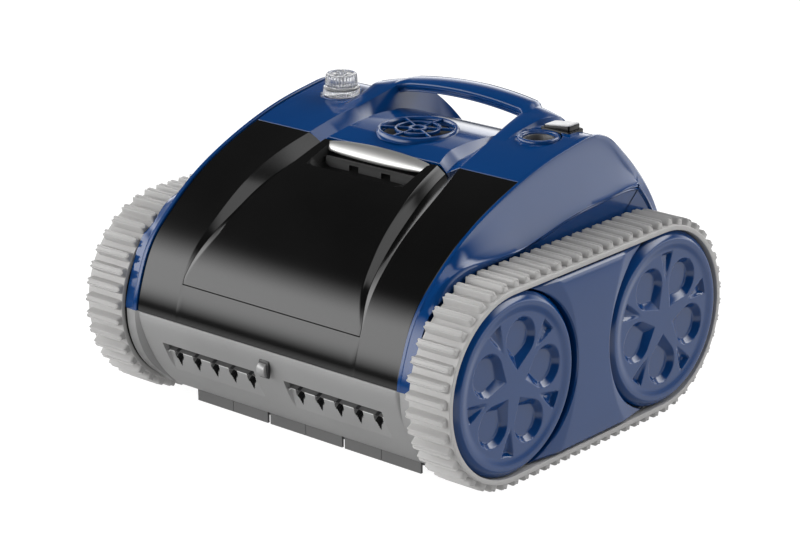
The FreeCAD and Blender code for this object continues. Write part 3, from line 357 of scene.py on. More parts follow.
def rounded(points, radius, steps=4):
    """A closed outline with its corners rounded; points are (a, b)."""
    p = np.asarray(points, float)
    out = []
    count = len(p)
    for i in range(count):
        before, here, after = p[i - 1], p[i], p[(i + 1) % count]
        u = (before - here) / np.linalg.norm(before - here)
        v = (after - here) / np.linalg.norm(after - here)
        cut_back = min(radius, 0.45 * np.linalg.norm(before - here), 0.45 * np.linalg.norm(after - here))
        for t in np.linspace(0, 1, steps + 1):
            out.append(here + u * cut_back * (1 - t) ** 2 + v * cut_back * t ** 2)
    return np.array(out)


# ---------------------------------------------------------------- sizes shared with the CAD frame
FRONT = [(-139, 14), (-154.7, 29.5), (-172, 56), (-181, 77.5), (-185.2, 97), (-182.8, 110), (-177.2, 127),
         (-168.5, 147), (-156.5, 164), (-141, 178.3), (-108, 203), (-71, 222), (-26, 238.8)]
DECK = [(17, 249.8), (52, 255.3), (76, 256.6), (92, 251.5), (112, 236), (135, 213), (153, 191), (168, 165)]
REAR = [(178, 138), (183.6, 116), (185.2, 97), (181, 77.5), (172, 56), (154.7, 29.5), (139, 14)]
outline = Smooth(FRONT + DECK + REAR)
TOP = outline.where(0, 60, 300, 560)
AXLE_Y, AXLE_Z = 104.0, 92.0
SEAM_Z = 97.0
COVER_BACK = -26.0


def front_at(z):
    """Distance along the outline at a height z on the nose."""
    return outline.where(1, z, 0, outline.where(0, -20, 200, 420))


def front_back(y):
    """Distance along the outline at a depth y between the nose and the rear corner."""
    return outline.where(0, y, outline.where(1, 97, 0, 150), outline.where(1, 170, TOP, 900))


def on_outline(t, x, inset=0.0):
    """Points at x across, sunk below the outline by inset. t, x and inset may be arrays."""
    t, x, inset = np.broadcast_arrays(np.asarray(t, float), np.asarray(x, float), np.asarray(inset, float))
    flat = t.ravel()
    place = outline.at(flat) - outline.outward(flat) * inset.ravel()[:, None]
    return np.stack([x.ravel(), place[:, 0], place[:, 1]], axis=1).reshape(t.shape + (3,))


# ---------------------------------------------------------------- wheels
PETALS = 5
COVER_RADIUS, COVER_FACE, COVER_BACK_X = 80.0, 213.6, 207.2
# A petal: a teardrop from near the hub to a round end, and how deep its bowed wall goes.
PETAL_NEAR, PETAL_NEAR_RADIUS, PETAL_FAR, PETAL_FAR_RADIUS, PETAL_DEEP = 14.5, 1.0, 40.6, 18.9, 5.4
WEDGE_START, WEDGE_END, WEDGE_DEEP = 35.0, 62.0, 4.4


def round_cone(u, v, a, ra, b, rb):
    """Signed distance to a teardrop: the hull of a circle at a and a larger one at b, both on the u axis."""
    length = b - a
    slope = (ra - rb) / length
    across = math.sqrt(1 - slope * slope)
    x, y = np.abs(v), u - a
    k = -slope * x + across * y
    near = np.sqrt(x * x + y * y) - ra
    far = np.sqrt(x * x + (y - length) ** 2) - rb
    side = x * across + y * slope - ra
    return np.where(k < 0, near, np.where(k > across * length, far, side))


def cover_face(radius, angle, first):
    """Height of a wheel cover's face over its main plane."""
    height = np.zeros_like(radius)
    turn = 2 * math.pi / PETALS
    local = (angle - first + turn / 2) % turn - turn / 2
    u, v = radius * np.cos(local), radius * np.sin(local)
    inside = -round_cone(u, v, PETAL_NEAR, PETAL_NEAR_RADIUS, PETAL_FAR, PETAL_FAR_RADIUS)
    wall = 4.6 + 4.6 * ease((38 - u) / 22)
    height -= PETAL_DEEP * np.clip(inside / wall, 0, 1) ** 0.9
    between = (angle - first) % turn - turn / 2
    u, v = radius * np.cos(between), radius * np.sin(between)
    along = np.clip((u - WEDGE_START) / 25.5, 0, 1)
    half = 0.8 + 7.0 * along
    edge = np.clip(np.minimum(half - np.abs(v), WEDGE_END - u) / 3.2, 0, 1)
    height -= WEDGE_DEEP * along ** 1.1 * edge * (u > WEDGE_START)
    rim_rise = 1.5 * ease((radius - 62.0) / 9.5)
    rim_bevel = 5.6 * np.clip((radius - 73.4) / 6.2, 0, 1) ** 1.3
    return height + rim_rise - rim_bevel


def make_wheel_cover(side, end, y, first):
    """A dished disc with five teardrop recesses, five small wedges and a bevelled rim."""
    radius = np.concatenate([[0.001, 3, 6, 9], np.linspace(11, 79.6, 92)])
    angle = np.linspace(0, 2 * math.pi, 400, endpoint=False)
    r, a = np.meshgrid(radius, angle, indexing="ij")
    face_x = COVER_FACE + cover_face(r, a, first)
    rim = [(COVER_RADIUS, 208.9), (COVER_RADIUS, COVER_BACK_X + 0.1),
           (78.5, COVER_BACK_X), (0.001, COVER_BACK_X)]
    r = np.concatenate([r, [[rim_radius] * len(angle) for rim_radius, _ in rim]])
    x = np.concatenate([face_x, [[rim_x] * len(angle) for _, rim_x in rim]])
    points = np.stack([x, y + r * np.cos(angle), AXLE_Z + r * np.sin(angle)], axis=2)
    shape = Shape().grid(points, wrap_columns=True)
    if side == "left":
        shape = shape.mirrored()
    node = "wheel_cover_%s_%s" % (end, side)
    shape.piece("look_" + node, "blue_gloss", "%s_%s_wheel" % (end, side), [node], sharp=38)


# Where the first petal of a front and of a rear wheel points, from straight back.
FRONT_TURN, REAR_TURN = math.radians(8), math.radians(-21)
for side in ("right", "left"):
    make_wheel_cover(side, "front", -AXLE_Y, FRONT_TURN)
    make_wheel_cover(side, "rear", AXLE_Y, REAR_TURN)


def make_side_cover():
    """The plate between two wheels: a proud middle with facets falling away to the wheels."""
    half_height, clear, outer_x, inner_x = 78.6, 81.6, 216.2, 206.0
    z = np.concatenate([[-half_height, -half_height + 0.9, -half_height + 2.2],
                        np.linspace(-half_height + 4, half_height - 4, 45),
                        [half_height - 2.2, half_height - 0.9, half_height]])
    reach = AXLE_Y - np.sqrt(clear ** 2 - z ** 2)
    t = np.concatenate([[-1, -0.985, -0.96], np.linspace(-0.93, 0.93, 57), [0.96, 0.985, 1]])
    y = t[None, :] * reach[:, None]
    zz = z[:, None] + 0 * y
    x = np.full_like(y, outer_x)
    facet = 139 - np.sqrt((np.abs(y) - 161) ** 2 + zz ** 2)
    x -= 0.22 * np.clip(facet, 0, None)
    x -= 2.6 * np.clip((zz - 44) / 34, 0, 1) ** 2
    side_gap = (1 - np.abs(t))[None, :] * reach[:, None]
    x -= 1.2 * (1 - ease(side_gap / 1.2))
    edge = half_height - np.abs(zz)
    x -= 2.2 * np.clip(1 - edge / 2.4, 0, 1)
    front = np.stack([x, y, zz + AXLE_Z], axis=2)
    back = np.stack([x * 0 + inner_x, y, zz + AXLE_Z], axis=2)
    return Shape().slab(front, back)


make_side_cover().pair("side_cover", "blue_gloss", sharp=14)


# ---------------------------------------------------------------- tracks
BELT_IN, BELT_OUT = 80.8, 85.4
BELT_NEAR, BELT_FAR = 170.0, 214.0
LUGS = 66
BELT_MIDDLE = (BELT_IN + BELT_OUT) / 2
LOOP = 4 * AXLE_Y + 2 * math.pi * BELT_MIDDLE
LUG_NEAR, LUG_FAR, LUG_ROUND = 170.4, 211.4, 2.6
# Half outline of a lug across the track as (along, height): two fine ridges with a hollow between.
LUG_HALF = [(4.9, -0.6), (4.5, 0.5), (3.4, 4.4), (3.0, 6.1),
            (2.65, 6.6), (2.05, 6.45), (1.6, 5.5), (0.0, 5.2)]
TOOTH_STATIONS = (183.0, 183.6, 204.4, 205.0)
TOOTH = [(-1.9, BELT_IN + 0.5), (-1.3, 78.2), (1.3, 78.2), (1.9, BELT_IN + 0.5)]


def loop_frame(t):
    """Centre of bending and outward direction at distance t round the belt's loop."""
    arc = math.pi * BELT_MIDDLE
    t = t % LOOP
    if t < AXLE_Y:
        return (t, AXLE_Z), (0, 1)
    t -= AXLE_Y
    if t < arc:
        a = math.pi / 2 - t / BELT_MIDDLE
        return (AXLE_Y, AXLE_Z), (math.cos(a), math.sin(a))
    t -= arc
    if t < 2 * AXLE_Y:
        return (AXLE_Y - t, AXLE_Z), (0, -1)
    t -= 2 * AXLE_Y
    if t < arc:
        a = -math.pi / 2 - t / BELT_MIDDLE
        return (-AXLE_Y, AXLE_Z), (math.cos(a), math.sin(a))
    t -= arc
    return (-AXLE_Y + t, AXLE_Z), (0, 1)


def on_belt(t, x, along, radius):
    """A point at x across the belt, at a radius from its centre of bending, shifted along it."""
    (cy, cz), (oy, oz) = loop_frame(t)
    return (x, cy + oy * radius + oz * along, cz + oz * radius - oy * along)


def make_track():
    """The belt, its lugs outside and its drive teeth inside."""
    shape = Shape()
    corners = [(BELT_NEAR, BELT_IN), (BELT_NEAR, BELT_OUT), (BELT_FAR, BELT_OUT), (BELT_FAR, BELT_IN)]
    section = rounded(corners, 1.1, 3)
    distances = np.linspace(0, LOOP, 330, endpoint=False)
    shape.tube([[on_belt(t, x, 0, radius) for x, radius in section] for t in distances], closed=True)
    lug = LUG_HALF + [(-along, height) for along, height in reversed(LUG_HALF[:-1])]
    ends = [0.0, 0.2, 0.7, 1.5, LUG_ROUND]
    stations = [LUG_NEAR + e for e in ends] + [LUG_FAR - e for e in reversed(ends)]
    for i in range(LUGS):
        rings = []
        for x in stations:
            end = min(x - LUG_NEAR, LUG_FAR - x, LUG_ROUND) / LUG_ROUND
            narrow = 0.62 + 0.38 * math.sqrt(max(1 - (1 - end) ** 2, 0.0))
            drop = 1.3 * (1 - end) ** 2
            section = [(along * narrow, BELT_OUT + height - (drop if height >= 1 else 0))
                       for along, height in lug]
            rings.append([on_belt(LOOP * i / LUGS, x, along, radius) for along, radius in section])
        shape.tube(rings)
    for i in range(2 * LUGS):
        t = LOOP * (i + 0.5) / (2 * LUGS)
        shape.tube([[on_belt(t, x, along, radius) for along, radius in TOOTH] for x in TOOTH_STATIONS])
    return shape


make_track().pair("track", "track_rubber", sharp=30)


# ---------------------------------------------------------------- side frames
PROUD = 1.5
START_Z = 157.0
FACET_TOP_X = 158.0
FACET_FOOT = [(158.6, -162.3, 156.8), (161.0, -155.0, 166.0), (164.5, -141.5, 178.5), (166.4, -127.0, 185.8),
              (167.3, -112.8, 188.9), (168.0, -95.0, 188.6), (168.4, -76.9, 187.6), (168.6, -52.0, 186.3),
              (168.6, -39.4, 186.3), (168.6, -27.7, 188.2), (168.6, -2.4, 192.6), (168.6, 21.1, 197.2),
              (168.4, 54.8, 200.9), (168.0, 90.7, 202.6), (167.0, 115.0, 203.2), (165.0, 128.0, 203.0)]
FENDER_EDGE = [(168.6, -162.5, 157.5), (168.6, -150.6, 165.5), (168.6, -138.9, 171.2), (168.6, -119.2, 178.4),
               (168.6, -95.4, 182.1), (168.6, -70.0, 182.6), (168.6, -45.0, 183.4), (168.6, -27.0, 186.9),
               (168.6, -2.4, 191.6), (168.6, 21.1, 196.3), (168.4, 54.8, 200.0), (168.0, 90.7, 201.7),
               (167.6, 115.0, 202.0), (166.6, 128.0, 200.0)]


def make_side_frame():
    """The rim that follows the body, a falling facet, a fender lip over the track and the wall below it."""
    start = front_at(START_Z)
    stop = front_back(134.0)
    foot, fender = Smooth(FACET_FOOT), Smooth(FENDER_EDGE)
    low = front_at(SEAM_Z + 0.3)
    high = outline.where(1, SEAM_Z + 0.3, TOP + 60, outline.length)
    before = steps_between(low, start, 4.0)[:-1]
    middle = steps_between(start, stop, 4.0)
    after = steps_between(stop, high, 5.0)[1:]
    rows = []
    for t in np.concatenate([before, middle, after]):
        share = (t - start) / (stop - start)
        y, z = outline.at(t)[0]
        ny, nz = outline.outward(t)[0]
        rear = ease((y - 70) / 62.0) if t < stop else 1.0

        def at(x, inset):
            lift = PROUD - inset
            return np.array([x, y + ny * lift, z + nz * lift])

        seam = [at(154.35, 4.5), at(154.35, 0.55), at(154.9, 0.0)]
        top_x = FACET_TOP_X + 4.5 * rear
        top_inset = 10.5 * rear
        rim_out = at(157.4, 0.12) * (1 - rear) + at(156.8, 0.25) * rear
        mid_rim = at((157.4 + top_x) / 2, 0.1) * (1 - rear) + at(160.2, 3.6) * rear
        facet_top = at(top_x, 0.35 + top_inset)
        if share <= 0:
            facet_foot, fender_edge = at(158.6, 0.05), at(168.6, 1.1)
            settled = 0.0
        elif share <= 1:
            facet_foot = foot.at(share * foot.length)[0]
            fender_edge = fender.at(share * fender.length)[0]
            settled = ease(share / 0.03)
            facet_foot = at(158.6, 0.05) * (1 - settled) + facet_foot * settled
            fender_edge = at(168.6, 1.1) * (1 - settled) + fender_edge * settled
        else:
            facet_foot, fender_edge = at(165.4, 13.0), at(167.6, 16.0)
            settled = 1.0
        face = [facet_top * (1 - k) + facet_foot * k for k in (0, 0.04, 0.25, 0.5, 0.75, 0.93, 1)]
        hollow = settled * min(1, np.linalg.norm(facet_top - facet_foot) / 20) if 0 < share <= 1 else 0.0
        for k, amount in ((1, 0.25), (2, 0.7), (3, 0.9), (4, 0.9), (5, 0.7)):
            face[k] = face[k] - np.array([amount * hollow, 0, 0])
        band = [facet_foot * (1 - k) + fender_edge * k for k in (0.12, 0.35, 0.65, 0.9)]
        bulge = min(1.0, np.linalg.norm(facet_foot - fender_edge) / 8.0) if share > 0 else 0.0
        for k, amount in ((0, 0.35), (1, 0.9), (2, 0.8), (3, 0.35)):
            band[k] = band[k] + np.array([amount * bulge, 0, 0.5 * amount * bulge])
        deep = 163.0 if share < 0.42 else 163.0 + 4.2 * ease((share - 0.42) / 0.12)
        under_edge = fender_edge + np.array([-0.7, 0, 0])
        toward = np.array([0, -fender_edge[1], AXLE_Z - fender_edge[2]])
        toward = toward / np.linalg.norm(toward)
        wall = [under_edge + toward * 0.8]
        for x, down in ((deep + 0.8, 1.4), (deep, 2.6), (deep, 22), (deep, 60)):
            wall.append(np.array([x, *(wall[0] + toward * down)[1:]]))
        rows.append(seam + [rim_out, mid_rim] + face + band + [fender_edge] + wall)
    return Shape().grid(np.array(rows))


make_side_frame().pair("side_frame", "blue_gloss", sharp=24)


# ---------------------------------------------------------------- front cover and filter lid
# Stations up the front, as (y, x): the outer edge of each groove, its valley, and the lid's own edge.
GROOVE_OUTER = Smooth([(-173.5, 105.9), (-152, 102.6), (-122, 100.0), (-84, 98.2), (-55, 94.5), (-26, 88.3)])
GROOVE_VALLEY = Smooth([(-173.5, 104.6), (-158, 97.8), (-140, 93.2), (-122, 89.4), (-97, 85.6), (-67, 79.4),
                        (-40, 74.6), (-26, 73.0)])
LID_SIDE = Smooth([(-173.5, 103.4), (-158, 92.0), (-140, 85.6), (-121, 80.6), (-97, 76.0), (-65, 70.0),
                   (-40, 67.0), (-26, 65.6)])
GROOVE_DEPTH = Smooth([(-173.5, 0.15), (-158, 1.2), (-140, 2.4), (-122, 4.2),
                       (-97, 5.2), (-67, 6.2), (-26, 7.4)])
LID_FOOT_Z = 130.7


def along_y(curve, y):
    """Read a (y, value) curve at many depths."""
    t = np.linspace(0, curve.length, 600)
    points = curve.at(t)
    return np.interp(y, points[:, 0], points[:, 1])


def make_front_cover():
    """The two glossy side panels, the strip below the lid, and the outer wall of each groove."""
    foot, split, top = front_at(SEAM_Z + 0.25), front_at(LID_FOOT_Z - 0.3), front_back(COVER_BACK - 0.2)
    upper = np.concatenate([[split], steps_between(split + 1.0, top - 0.9, 2.0), [top - 0.35, top, top]])
    y = outline.at(upper)[:, 0]
    outer, valley, depth = along_y(GROOVE_OUTER, y), along_y(GROOVE_VALLEY, y), along_y(GROOVE_DEPTH, y)
    valley = valley + 0.3
    columns = [(valley, depth + 3.0)]
    for k in (0, 0.25, 0.5, 0.75, 0.955, 1.0, 1.045):
        columns.append((valley + (outer - valley) * k, depth * max(0.0, 1 - k)))
    for k in np.linspace(0.1, 1, 15):
        columns.append((outer + (152.9 - outer) * k, 0 * depth))
    for x, sink in ((153.5, 0.18), (153.85, 0.6), (153.9, 3.0)):
        columns.append((0 * outer + x, 0 * depth + sink))
    x = np.stack([c[0] for c in columns], axis=1)
    sink = np.stack([c[1] for c in columns], axis=1)
    sink[-2] += 0.35
    sink[-1] += 3.0
    t = np.repeat(upper[:, None], x.shape[1], axis=1)
    side = on_outline(t, x, sink)
    shape = Shape().grid(side)
    shape.add(Shape().grid(side).mirrored())
    lower = np.concatenate([
        [foot, foot], steps_between(foot + 0.35, split - 0.35, 1.8), [split, split + 0.01]])
    bottom_x = x[0]
    middle = np.linspace(-bottom_x[1], bottom_x[1], 50)
    across = np.concatenate([-bottom_x[:0:-1], middle[1:-1], bottom_x[1:]])
    across_sink = np.concatenate([sink[0][:0:-1], 0 * middle[1:-1], sink[0][1:]])
    t = np.repeat(lower[:, None], len(across), axis=1)
    sunk = np.repeat(across_sink[None, :], len(lower), axis=0)
    sunk[0] += 3.0
    sunk[1] += 0.35
    inner = (np.abs(across) < bottom_x[1] - 0.01)
    sunk[-2, inner] += 0.35
    sunk[-1, inner] += 1.1
    t[-1, inner] = split - 2.4
    shape.grid(on_outline(t, np.repeat(across[None, :], len(lower), axis=0), sunk))
    return shape


make_front_cover().piece("look_front_cover", "black_gloss", "chassis", ["front_cover"], sharp=12)

RECESS_HALF_X, RECESS_FRONT_Y, RECESS_ROUND, RECESS_DEEP = 57.5, -66.0, 11.0, 13.0


def recess_depth(x, y):
    """Depth of the finger recess under the lip: a rounded pocket open towards the top."""
    half_y = 30.0
    dx = np.abs(x) - (RECESS_HALF_X - RECESS_ROUND)
    dy = np.abs(y - (RECESS_FRONT_Y + half_y)) - (half_y - RECESS_ROUND)
    outside = np.sqrt(np.maximum(dx, 0) ** 2 + np.maximum(dy, 0) ** 2)
    inside = RECESS_ROUND - outside - np.minimum(np.maximum(dx, dy), 0)
    return RECESS_DEEP * ease((inside - 0.3) / 8.5) ** 0.8


def make_lid():
    """The filter lid: a flat-sided panel with the finger recess near its top and a fold all round."""
    foot, top = front_at(LID_FOOT_Z), front_back(-29.5)
    near = front_back(RECESS_FRONT_Y)
    t = np.concatenate([[foot, foot], [foot + 0.35], steps_between(foot + 1.5, near - 2, 2.0),
                        steps_between(near - 1.2, near + 12, 0.8), steps_between(near + 14, top, 2.0), [top]])
    y = outline.at(t)[:, 0]
    side, valley, depth = along_y(LID_SIDE, y), along_y(GROOVE_VALLEY, y), along_y(GROOVE_DEPTH, y)
    columns = [(np.minimum(x, side - 1.0 - 0.05 * (60 - x)), 0 * side) for x in np.arange(0, 60.1, 1.5)]
    columns += [(60 + (side - 60) * k, 0 * side) for k in (0.2, 0.4, 0.6, 0.8, 0.95)]
    for k, drop in ((0.0, 0.0), (0.04, 0.06), (0.35, 0.35), (0.7, 0.7), (1.0, 1.0)):
        columns.append((side + (valley - 0.35 - side) * k, depth * drop))
    columns.append((valley - 0.35, depth + 1.6))
    right_x, right_sink = (np.stack(parts, axis=1) for parts in zip(*columns))
    x = np.concatenate([-right_x[:, :0:-1], right_x], axis=1)
    sink = np.concatenate([right_sink[:, :0:-1], right_sink], axis=1)
    sink = sink + recess_depth(x, y[:, None])
    sink[0] += 1.6
    sink[1] += 0.4
    sink[-1] += 5.0
    return Shape().grid(on_outline(np.repeat(t[:, None], x.shape[1], axis=1), x, sink))


lid = make_lid().piece("look_filter_lid", "black_gloss", "lid", ["filter_lid"], sharp=24)
lid.data.materials.append(LOOKS["recess_black"])
for polygon in lid.data.polygons:
    centre = polygon.center / MM
    if abs(centre.x) < RECESS_HALF_X and centre.y > RECESS_FRONT_Y + 1.5 and abs(polygon.normal.x) < 0.9:
        polygon.material_index = 1


def make_lip():
    """A lens-shaped bright bar: convex on top, with a fine edge and a tucked-under lower side."""
    rings = []
    length, y, z, tilt = 66.2, -32.9, 233.6, math.radians(45)
    for station in np.sin(np.linspace(-math.pi / 2, math.pi / 2, 49)):
        swell = max(1 - station * station, 0) ** 0.5
        across = 0.6 + 7.8 * swell
        rise = 0.3 + 3.4 * swell
        ring = []
        for a in np.linspace(0, 2 * math.pi, 28, endpoint=False):
            u, v = across * math.cos(a), rise * math.sin(a)
            if v < 0:
                v *= 0.55
                u *= 1 - 0.12 * abs(math.sin(a))
            ring.append((u, v))
        arch = 1.2 * (1 - station * station)
        rings.append([(length * station, y + u * math.cos(tilt) - v * math.sin(tilt) - 0.3 * arch,
                       z + u * math.sin(tilt) + v * math.cos(tilt) + arch) for u, v in ring])
    return Shape().tube(rings)


make_lip().piece("look_lid_lip", "chrome_trim", "lid", ["lid_lip"], sharp=40)


def make_latch():
    """The latch tongue: a strip under the lip with three teeth, its lower edge a shallow bow."""
    def foot(x):
        return 210.8 + 8.5 * (x / 50.0) ** 2

    shape = Shape()
    spans = [(-52.0, -24.2), (-13.4, 13.4), (24.2, 52.0)]
    for low, high in spans:
        front, back = [], []
        for x in np.linspace(low, high, 12):
            end = min(x - low, high - x)
            z0 = foot(x) + 0.8 * (1 - ease(end / 1.2))
            z = np.array([z0, z0 + 0.5, z0 + 3, 218 + 0.2 * (z0 - 211), 223, 226.5])
            y = -44.6 + 0.02 * np.maximum(z - z0, 0) ** 1.5
            y[0] += 0.6
            front.append([(x, yy, zz) for yy, zz in zip(y, z)])
            back.append([(x, yy + 2.6, zz) for yy, zz in zip(y, z)])
        shape.slab(front, back)
    front, back = [], []
    for x in np.linspace(-52, 52, 40):
        z = np.array([224.2, 224.8, 226, 227.5])
        front.append([(x, -43.9 + 0.05 * i, zz) for i, zz in enumerate(z)])
        back.append([(x, -40.9, zz) for zz in z])
    shape.slab(front, back)
    return shape


make_latch().piece("look_lid_latch", "latch_grey", "latch", ["lid_latch"], sharp=35)


# ---------------------------------------------------------------- silver bands
VENT_X, VENT_Z = (18.0, 130.0), (42.5, 70.5)
NOTCHES, LEDGE_Z = 5, 61.6


def vent_depth(x, z):
    """Depth of the front vents, and where their notches go through."""
    x = np.abs(x)
    inside = (x > VENT_X[0]) & (x < VENT_X[1]) & (z < VENT_Z[1]) & (z > VENT_Z[0])
    plate = 4.2 * np.clip((z - VENT_Z[0]) / (LEDGE_Z - VENT_Z[0]), 0, 1) - 1.3 * (z > 60.9)
    depth = np.where(z > LEDGE_Z, 9.6, plate + 0.2)
    edge = np.minimum(x - VENT_X[0], VENT_X[1] - x)
    depth = depth * np.clip(edge / 0.9, 0, 1)
    pitch = (VENT_X[1] - VENT_X[0]) / NOTCHES
    across = np.abs((x - VENT_X[0]) % pitch - pitch / 2)
    round_top = np.sqrt(np.clip(4.6 ** 2 - np.maximum(z - 61.2, 0) ** 2, 0, None))
    wide = (z > 54.8) & (across < np.where(z > 61.2, round_top, 4.6)) & ((z < 60.9) | (z > LEDGE_Z))
    narrow = (z > 47.6) & (z <= 54.8) & (across < 3.1 * (z - 47.6) / 7.2)
    holes = inside & (wide | narrow)
    depth = np.where(holes, depth + 6.0, depth)
    return np.where(inside, depth, 0.0), holes


CORNER_GROOVE = 2.6


def make_band(front):
    """A band that wraps under the nose or the tail, with soft grooves where its corners start."""
    wide = 167.6
    fine = []
    for low, high in ((-VENT_X[1] - 0.4, -VENT_X[0] + 0.4), (VENT_X[0] - 0.4, VENT_X[1] + 0.4)):
        fine.append(steps_between(low, high, 0.8 if front else 8.0))
    outer = np.array([130.6, 136, 142, 147, 150, 151.4, 152.4, 153.3, 154.2, 155.1, 156.1, 157.4,
                      160, 164, 166.6, 167.3, wide, wide])
    middle = np.linspace(-VENT_X[0] + 0.8, VENT_X[0] - 0.8, 11)
    x = np.concatenate([-outer[::-1], fine[0], middle, fine[1], outer])
    if front:
        z = np.concatenate([
            [15.5, 17, 20, 24, 28, 32, 36, 39.5], np.arange(41.7, 61.5, 0.65), [61.56, 61.64],
            np.arange(62.2, 70.4, 0.65),
            [70.46, 70.54, 71.2, 73, 76, 80, 84, 88, 92, 95, 96.0, 96.5, 96.72, 96.72]])
        t = np.array([front_at(v) for v in z])
    else:
        z = np.concatenate([[15.5, 17, 20], np.arange(24, 95, 4.0), [96.0, 96.5, 96.72, 96.72]])
        rear_top = outline.where(0, 185.0, TOP, outline.length)
        t = np.array([outline.where(1, v, rear_top - 20, outline.length) for v in z])
    xx, zz = np.meshgrid(x, z)
    tt = np.repeat(t[:, None], len(x), axis=1)
    sink = vent_depth(xx, zz)[0] if front else np.zeros_like(xx)
    sink = sink + CORNER_GROOVE * np.exp(-((np.abs(xx) - 154.6) / 1.7) ** 2)
    for inward, side_fold, top_fold in ((1, 8.0, 3.0), (2, 0.9, 0.25), (3, 0.25, 0.05)):
        sink[:, [inward - 1, -inward]] += side_fold
        sink[-inward] += top_fold
    name = "look_front_band" if front else "look_rear_band"
    front_nodes = ["front_band", "front_vents"]
    rear_nodes = ["rear_band", "band_corners_right", "band_corners_left"]
    stands_for = front_nodes if front else rear_nodes
    points = on_outline(tt, xx, sink)
    edge = ease((np.abs(xx) - 155.4) / 1.6)
    reach = AXLE_Y + np.sqrt(np.maximum(81.4 ** 2 - (points[:, :, 2] - AXLE_Z) ** 2, 1.0))
    fuller = np.maximum(reach - np.abs(points[:, :, 1]), 0) * edge * (sink < 1.0)
    points[:, :, 1] += fuller * (-1 if front else 1)
    shape = Shape().grid(points, flip=not front)
    obj = shape.piece(name, "silver_band", "chassis", stands_for, sharp=34, outward=False)
    if front:
        # Extra finishes for the vents: painted shade in the notches and the recess, and a painted highlight
        # on the ledge edge.
        for look in ("dark_plastic", "vent_recess_painted_shade", "vent_ledge_painted_highlight"):
            obj.data.materials.append(LOOKS[look])
        for polygon in obj.data.polygons:
            centre = polygon.center / MM
            depth, hole = vent_depth(np.array([centre.x]), np.array([centre.z]))
            # Notch floors take dark plastic: painted shade standing in for the dark inside of the vent
            # openings.
            if hole[0]:
                polygon.material_index = 1
            # Faces deep in the vent recess take the painted shade.
            elif depth[0] > 8:
                polygon.material_index = 2
            # The thin edge of the vent ledge takes the painted highlight.
            elif depth[0] > 2.0 and 60.6 < centre.z < LEDGE_Z + 0.1:
                polygon.material_index = 3


make_band(True)
make_band(False)


def oval_tube(stations, y, z, deep, high):
    """Rings of an oval across the machine; stations are (x, swell)."""
    rings = []
    for x, swell in stations:
        rings.append([(x, y - deep * math.cos(a) * swell, z + high * math.sin(a) * swell)
                      for a in np.linspace(0, 2 * math.pi, 24, endpoint=False)])
    return Shape().tube(rings)


HOOK_STATIONS = [(-4.6, 0.78), (-4.3, 0.93), (-3.6, 1.0), (3.6, 1.0), (4.3, 0.93), (4.6, 0.78)]
oval_tube(HOOK_STATIONS, -184.6, 78.2, 4.6, 6.2).piece(
    "look_tow_hook", "silver_band", "chassis", ["tow_hook"], sharp=40)
# A thin dark oval behind the hook: painted shade standing in for the shaded slot around it; no recess is cut
# in the band.
HOOK_SLOT_SHADE_STATIONS = [(-5.0, 0.9), (-4.6, 1.0), (6.0, 1.0), (6.4, 0.9)]
oval_tube(HOOK_SLOT_SHADE_STATIONS, -183.9, 78.9, 1.6, 8.2).piece(
    "look_tow_hook_slot_painted_shade", "dark_plastic", "chassis", sharp=40)


# ---------------------------------------------------------------- deck, well and rails
# Half widths and heights of the deck's features, along y.
RAIL_INNER = Smooth([(-26, 88.3), (7.7, 84.2), (42.1, 77.6), (82, 73.2), (105, 70.0),
                     (127, 61.0), (140, 52.0), (170, 45.0)])
RAIL_OUTER = Smooth([(-26, 89.0), (-3.6, 92.0), (29.8, 93.4), (52.3, 95.0), (92.3, 99.2),
                     (112, 97.0), (130, 89.0), (150, 76.0), (170, 66.0)])
RAIL_LINE = Smooth([(-26, 239.0), (-3.6, 244.3), (29.8, 252.2), (52, 257.4), (80, 263.6), (92, 265.4),
                    (101, 263.6), (110, 257.6), (127, 241.5), (138, 226.5), (150, 207.0), (165, 171.0)])
WELL_LINE = Smooth([(-26, 238.4), (-16, 242.6), (0, 245.2), (21, 246.6), (57, 245.2),
                    (72, 243.2), (90, 239), (130, 222)])
PLATEAU_EDGE = Smooth([(-26, 65.6), (-12, 61.5), (0, 60.2), (26, 61.6), (50, 63.4),
                       (80, 62.0), (110, 58.0), (140, 48.0), (170, 40)])
VALLEY_LINE = Smooth([(-26, 73.0), (0, 69.5), (25, 69.2), (50, 69.0), (80, 67.5),
                      (110, 64.0), (140, 50.5), (170, 43)])
DIAL_X, DIAL_Y = 116.3, 48.1
OUTLET_Y = 21.4


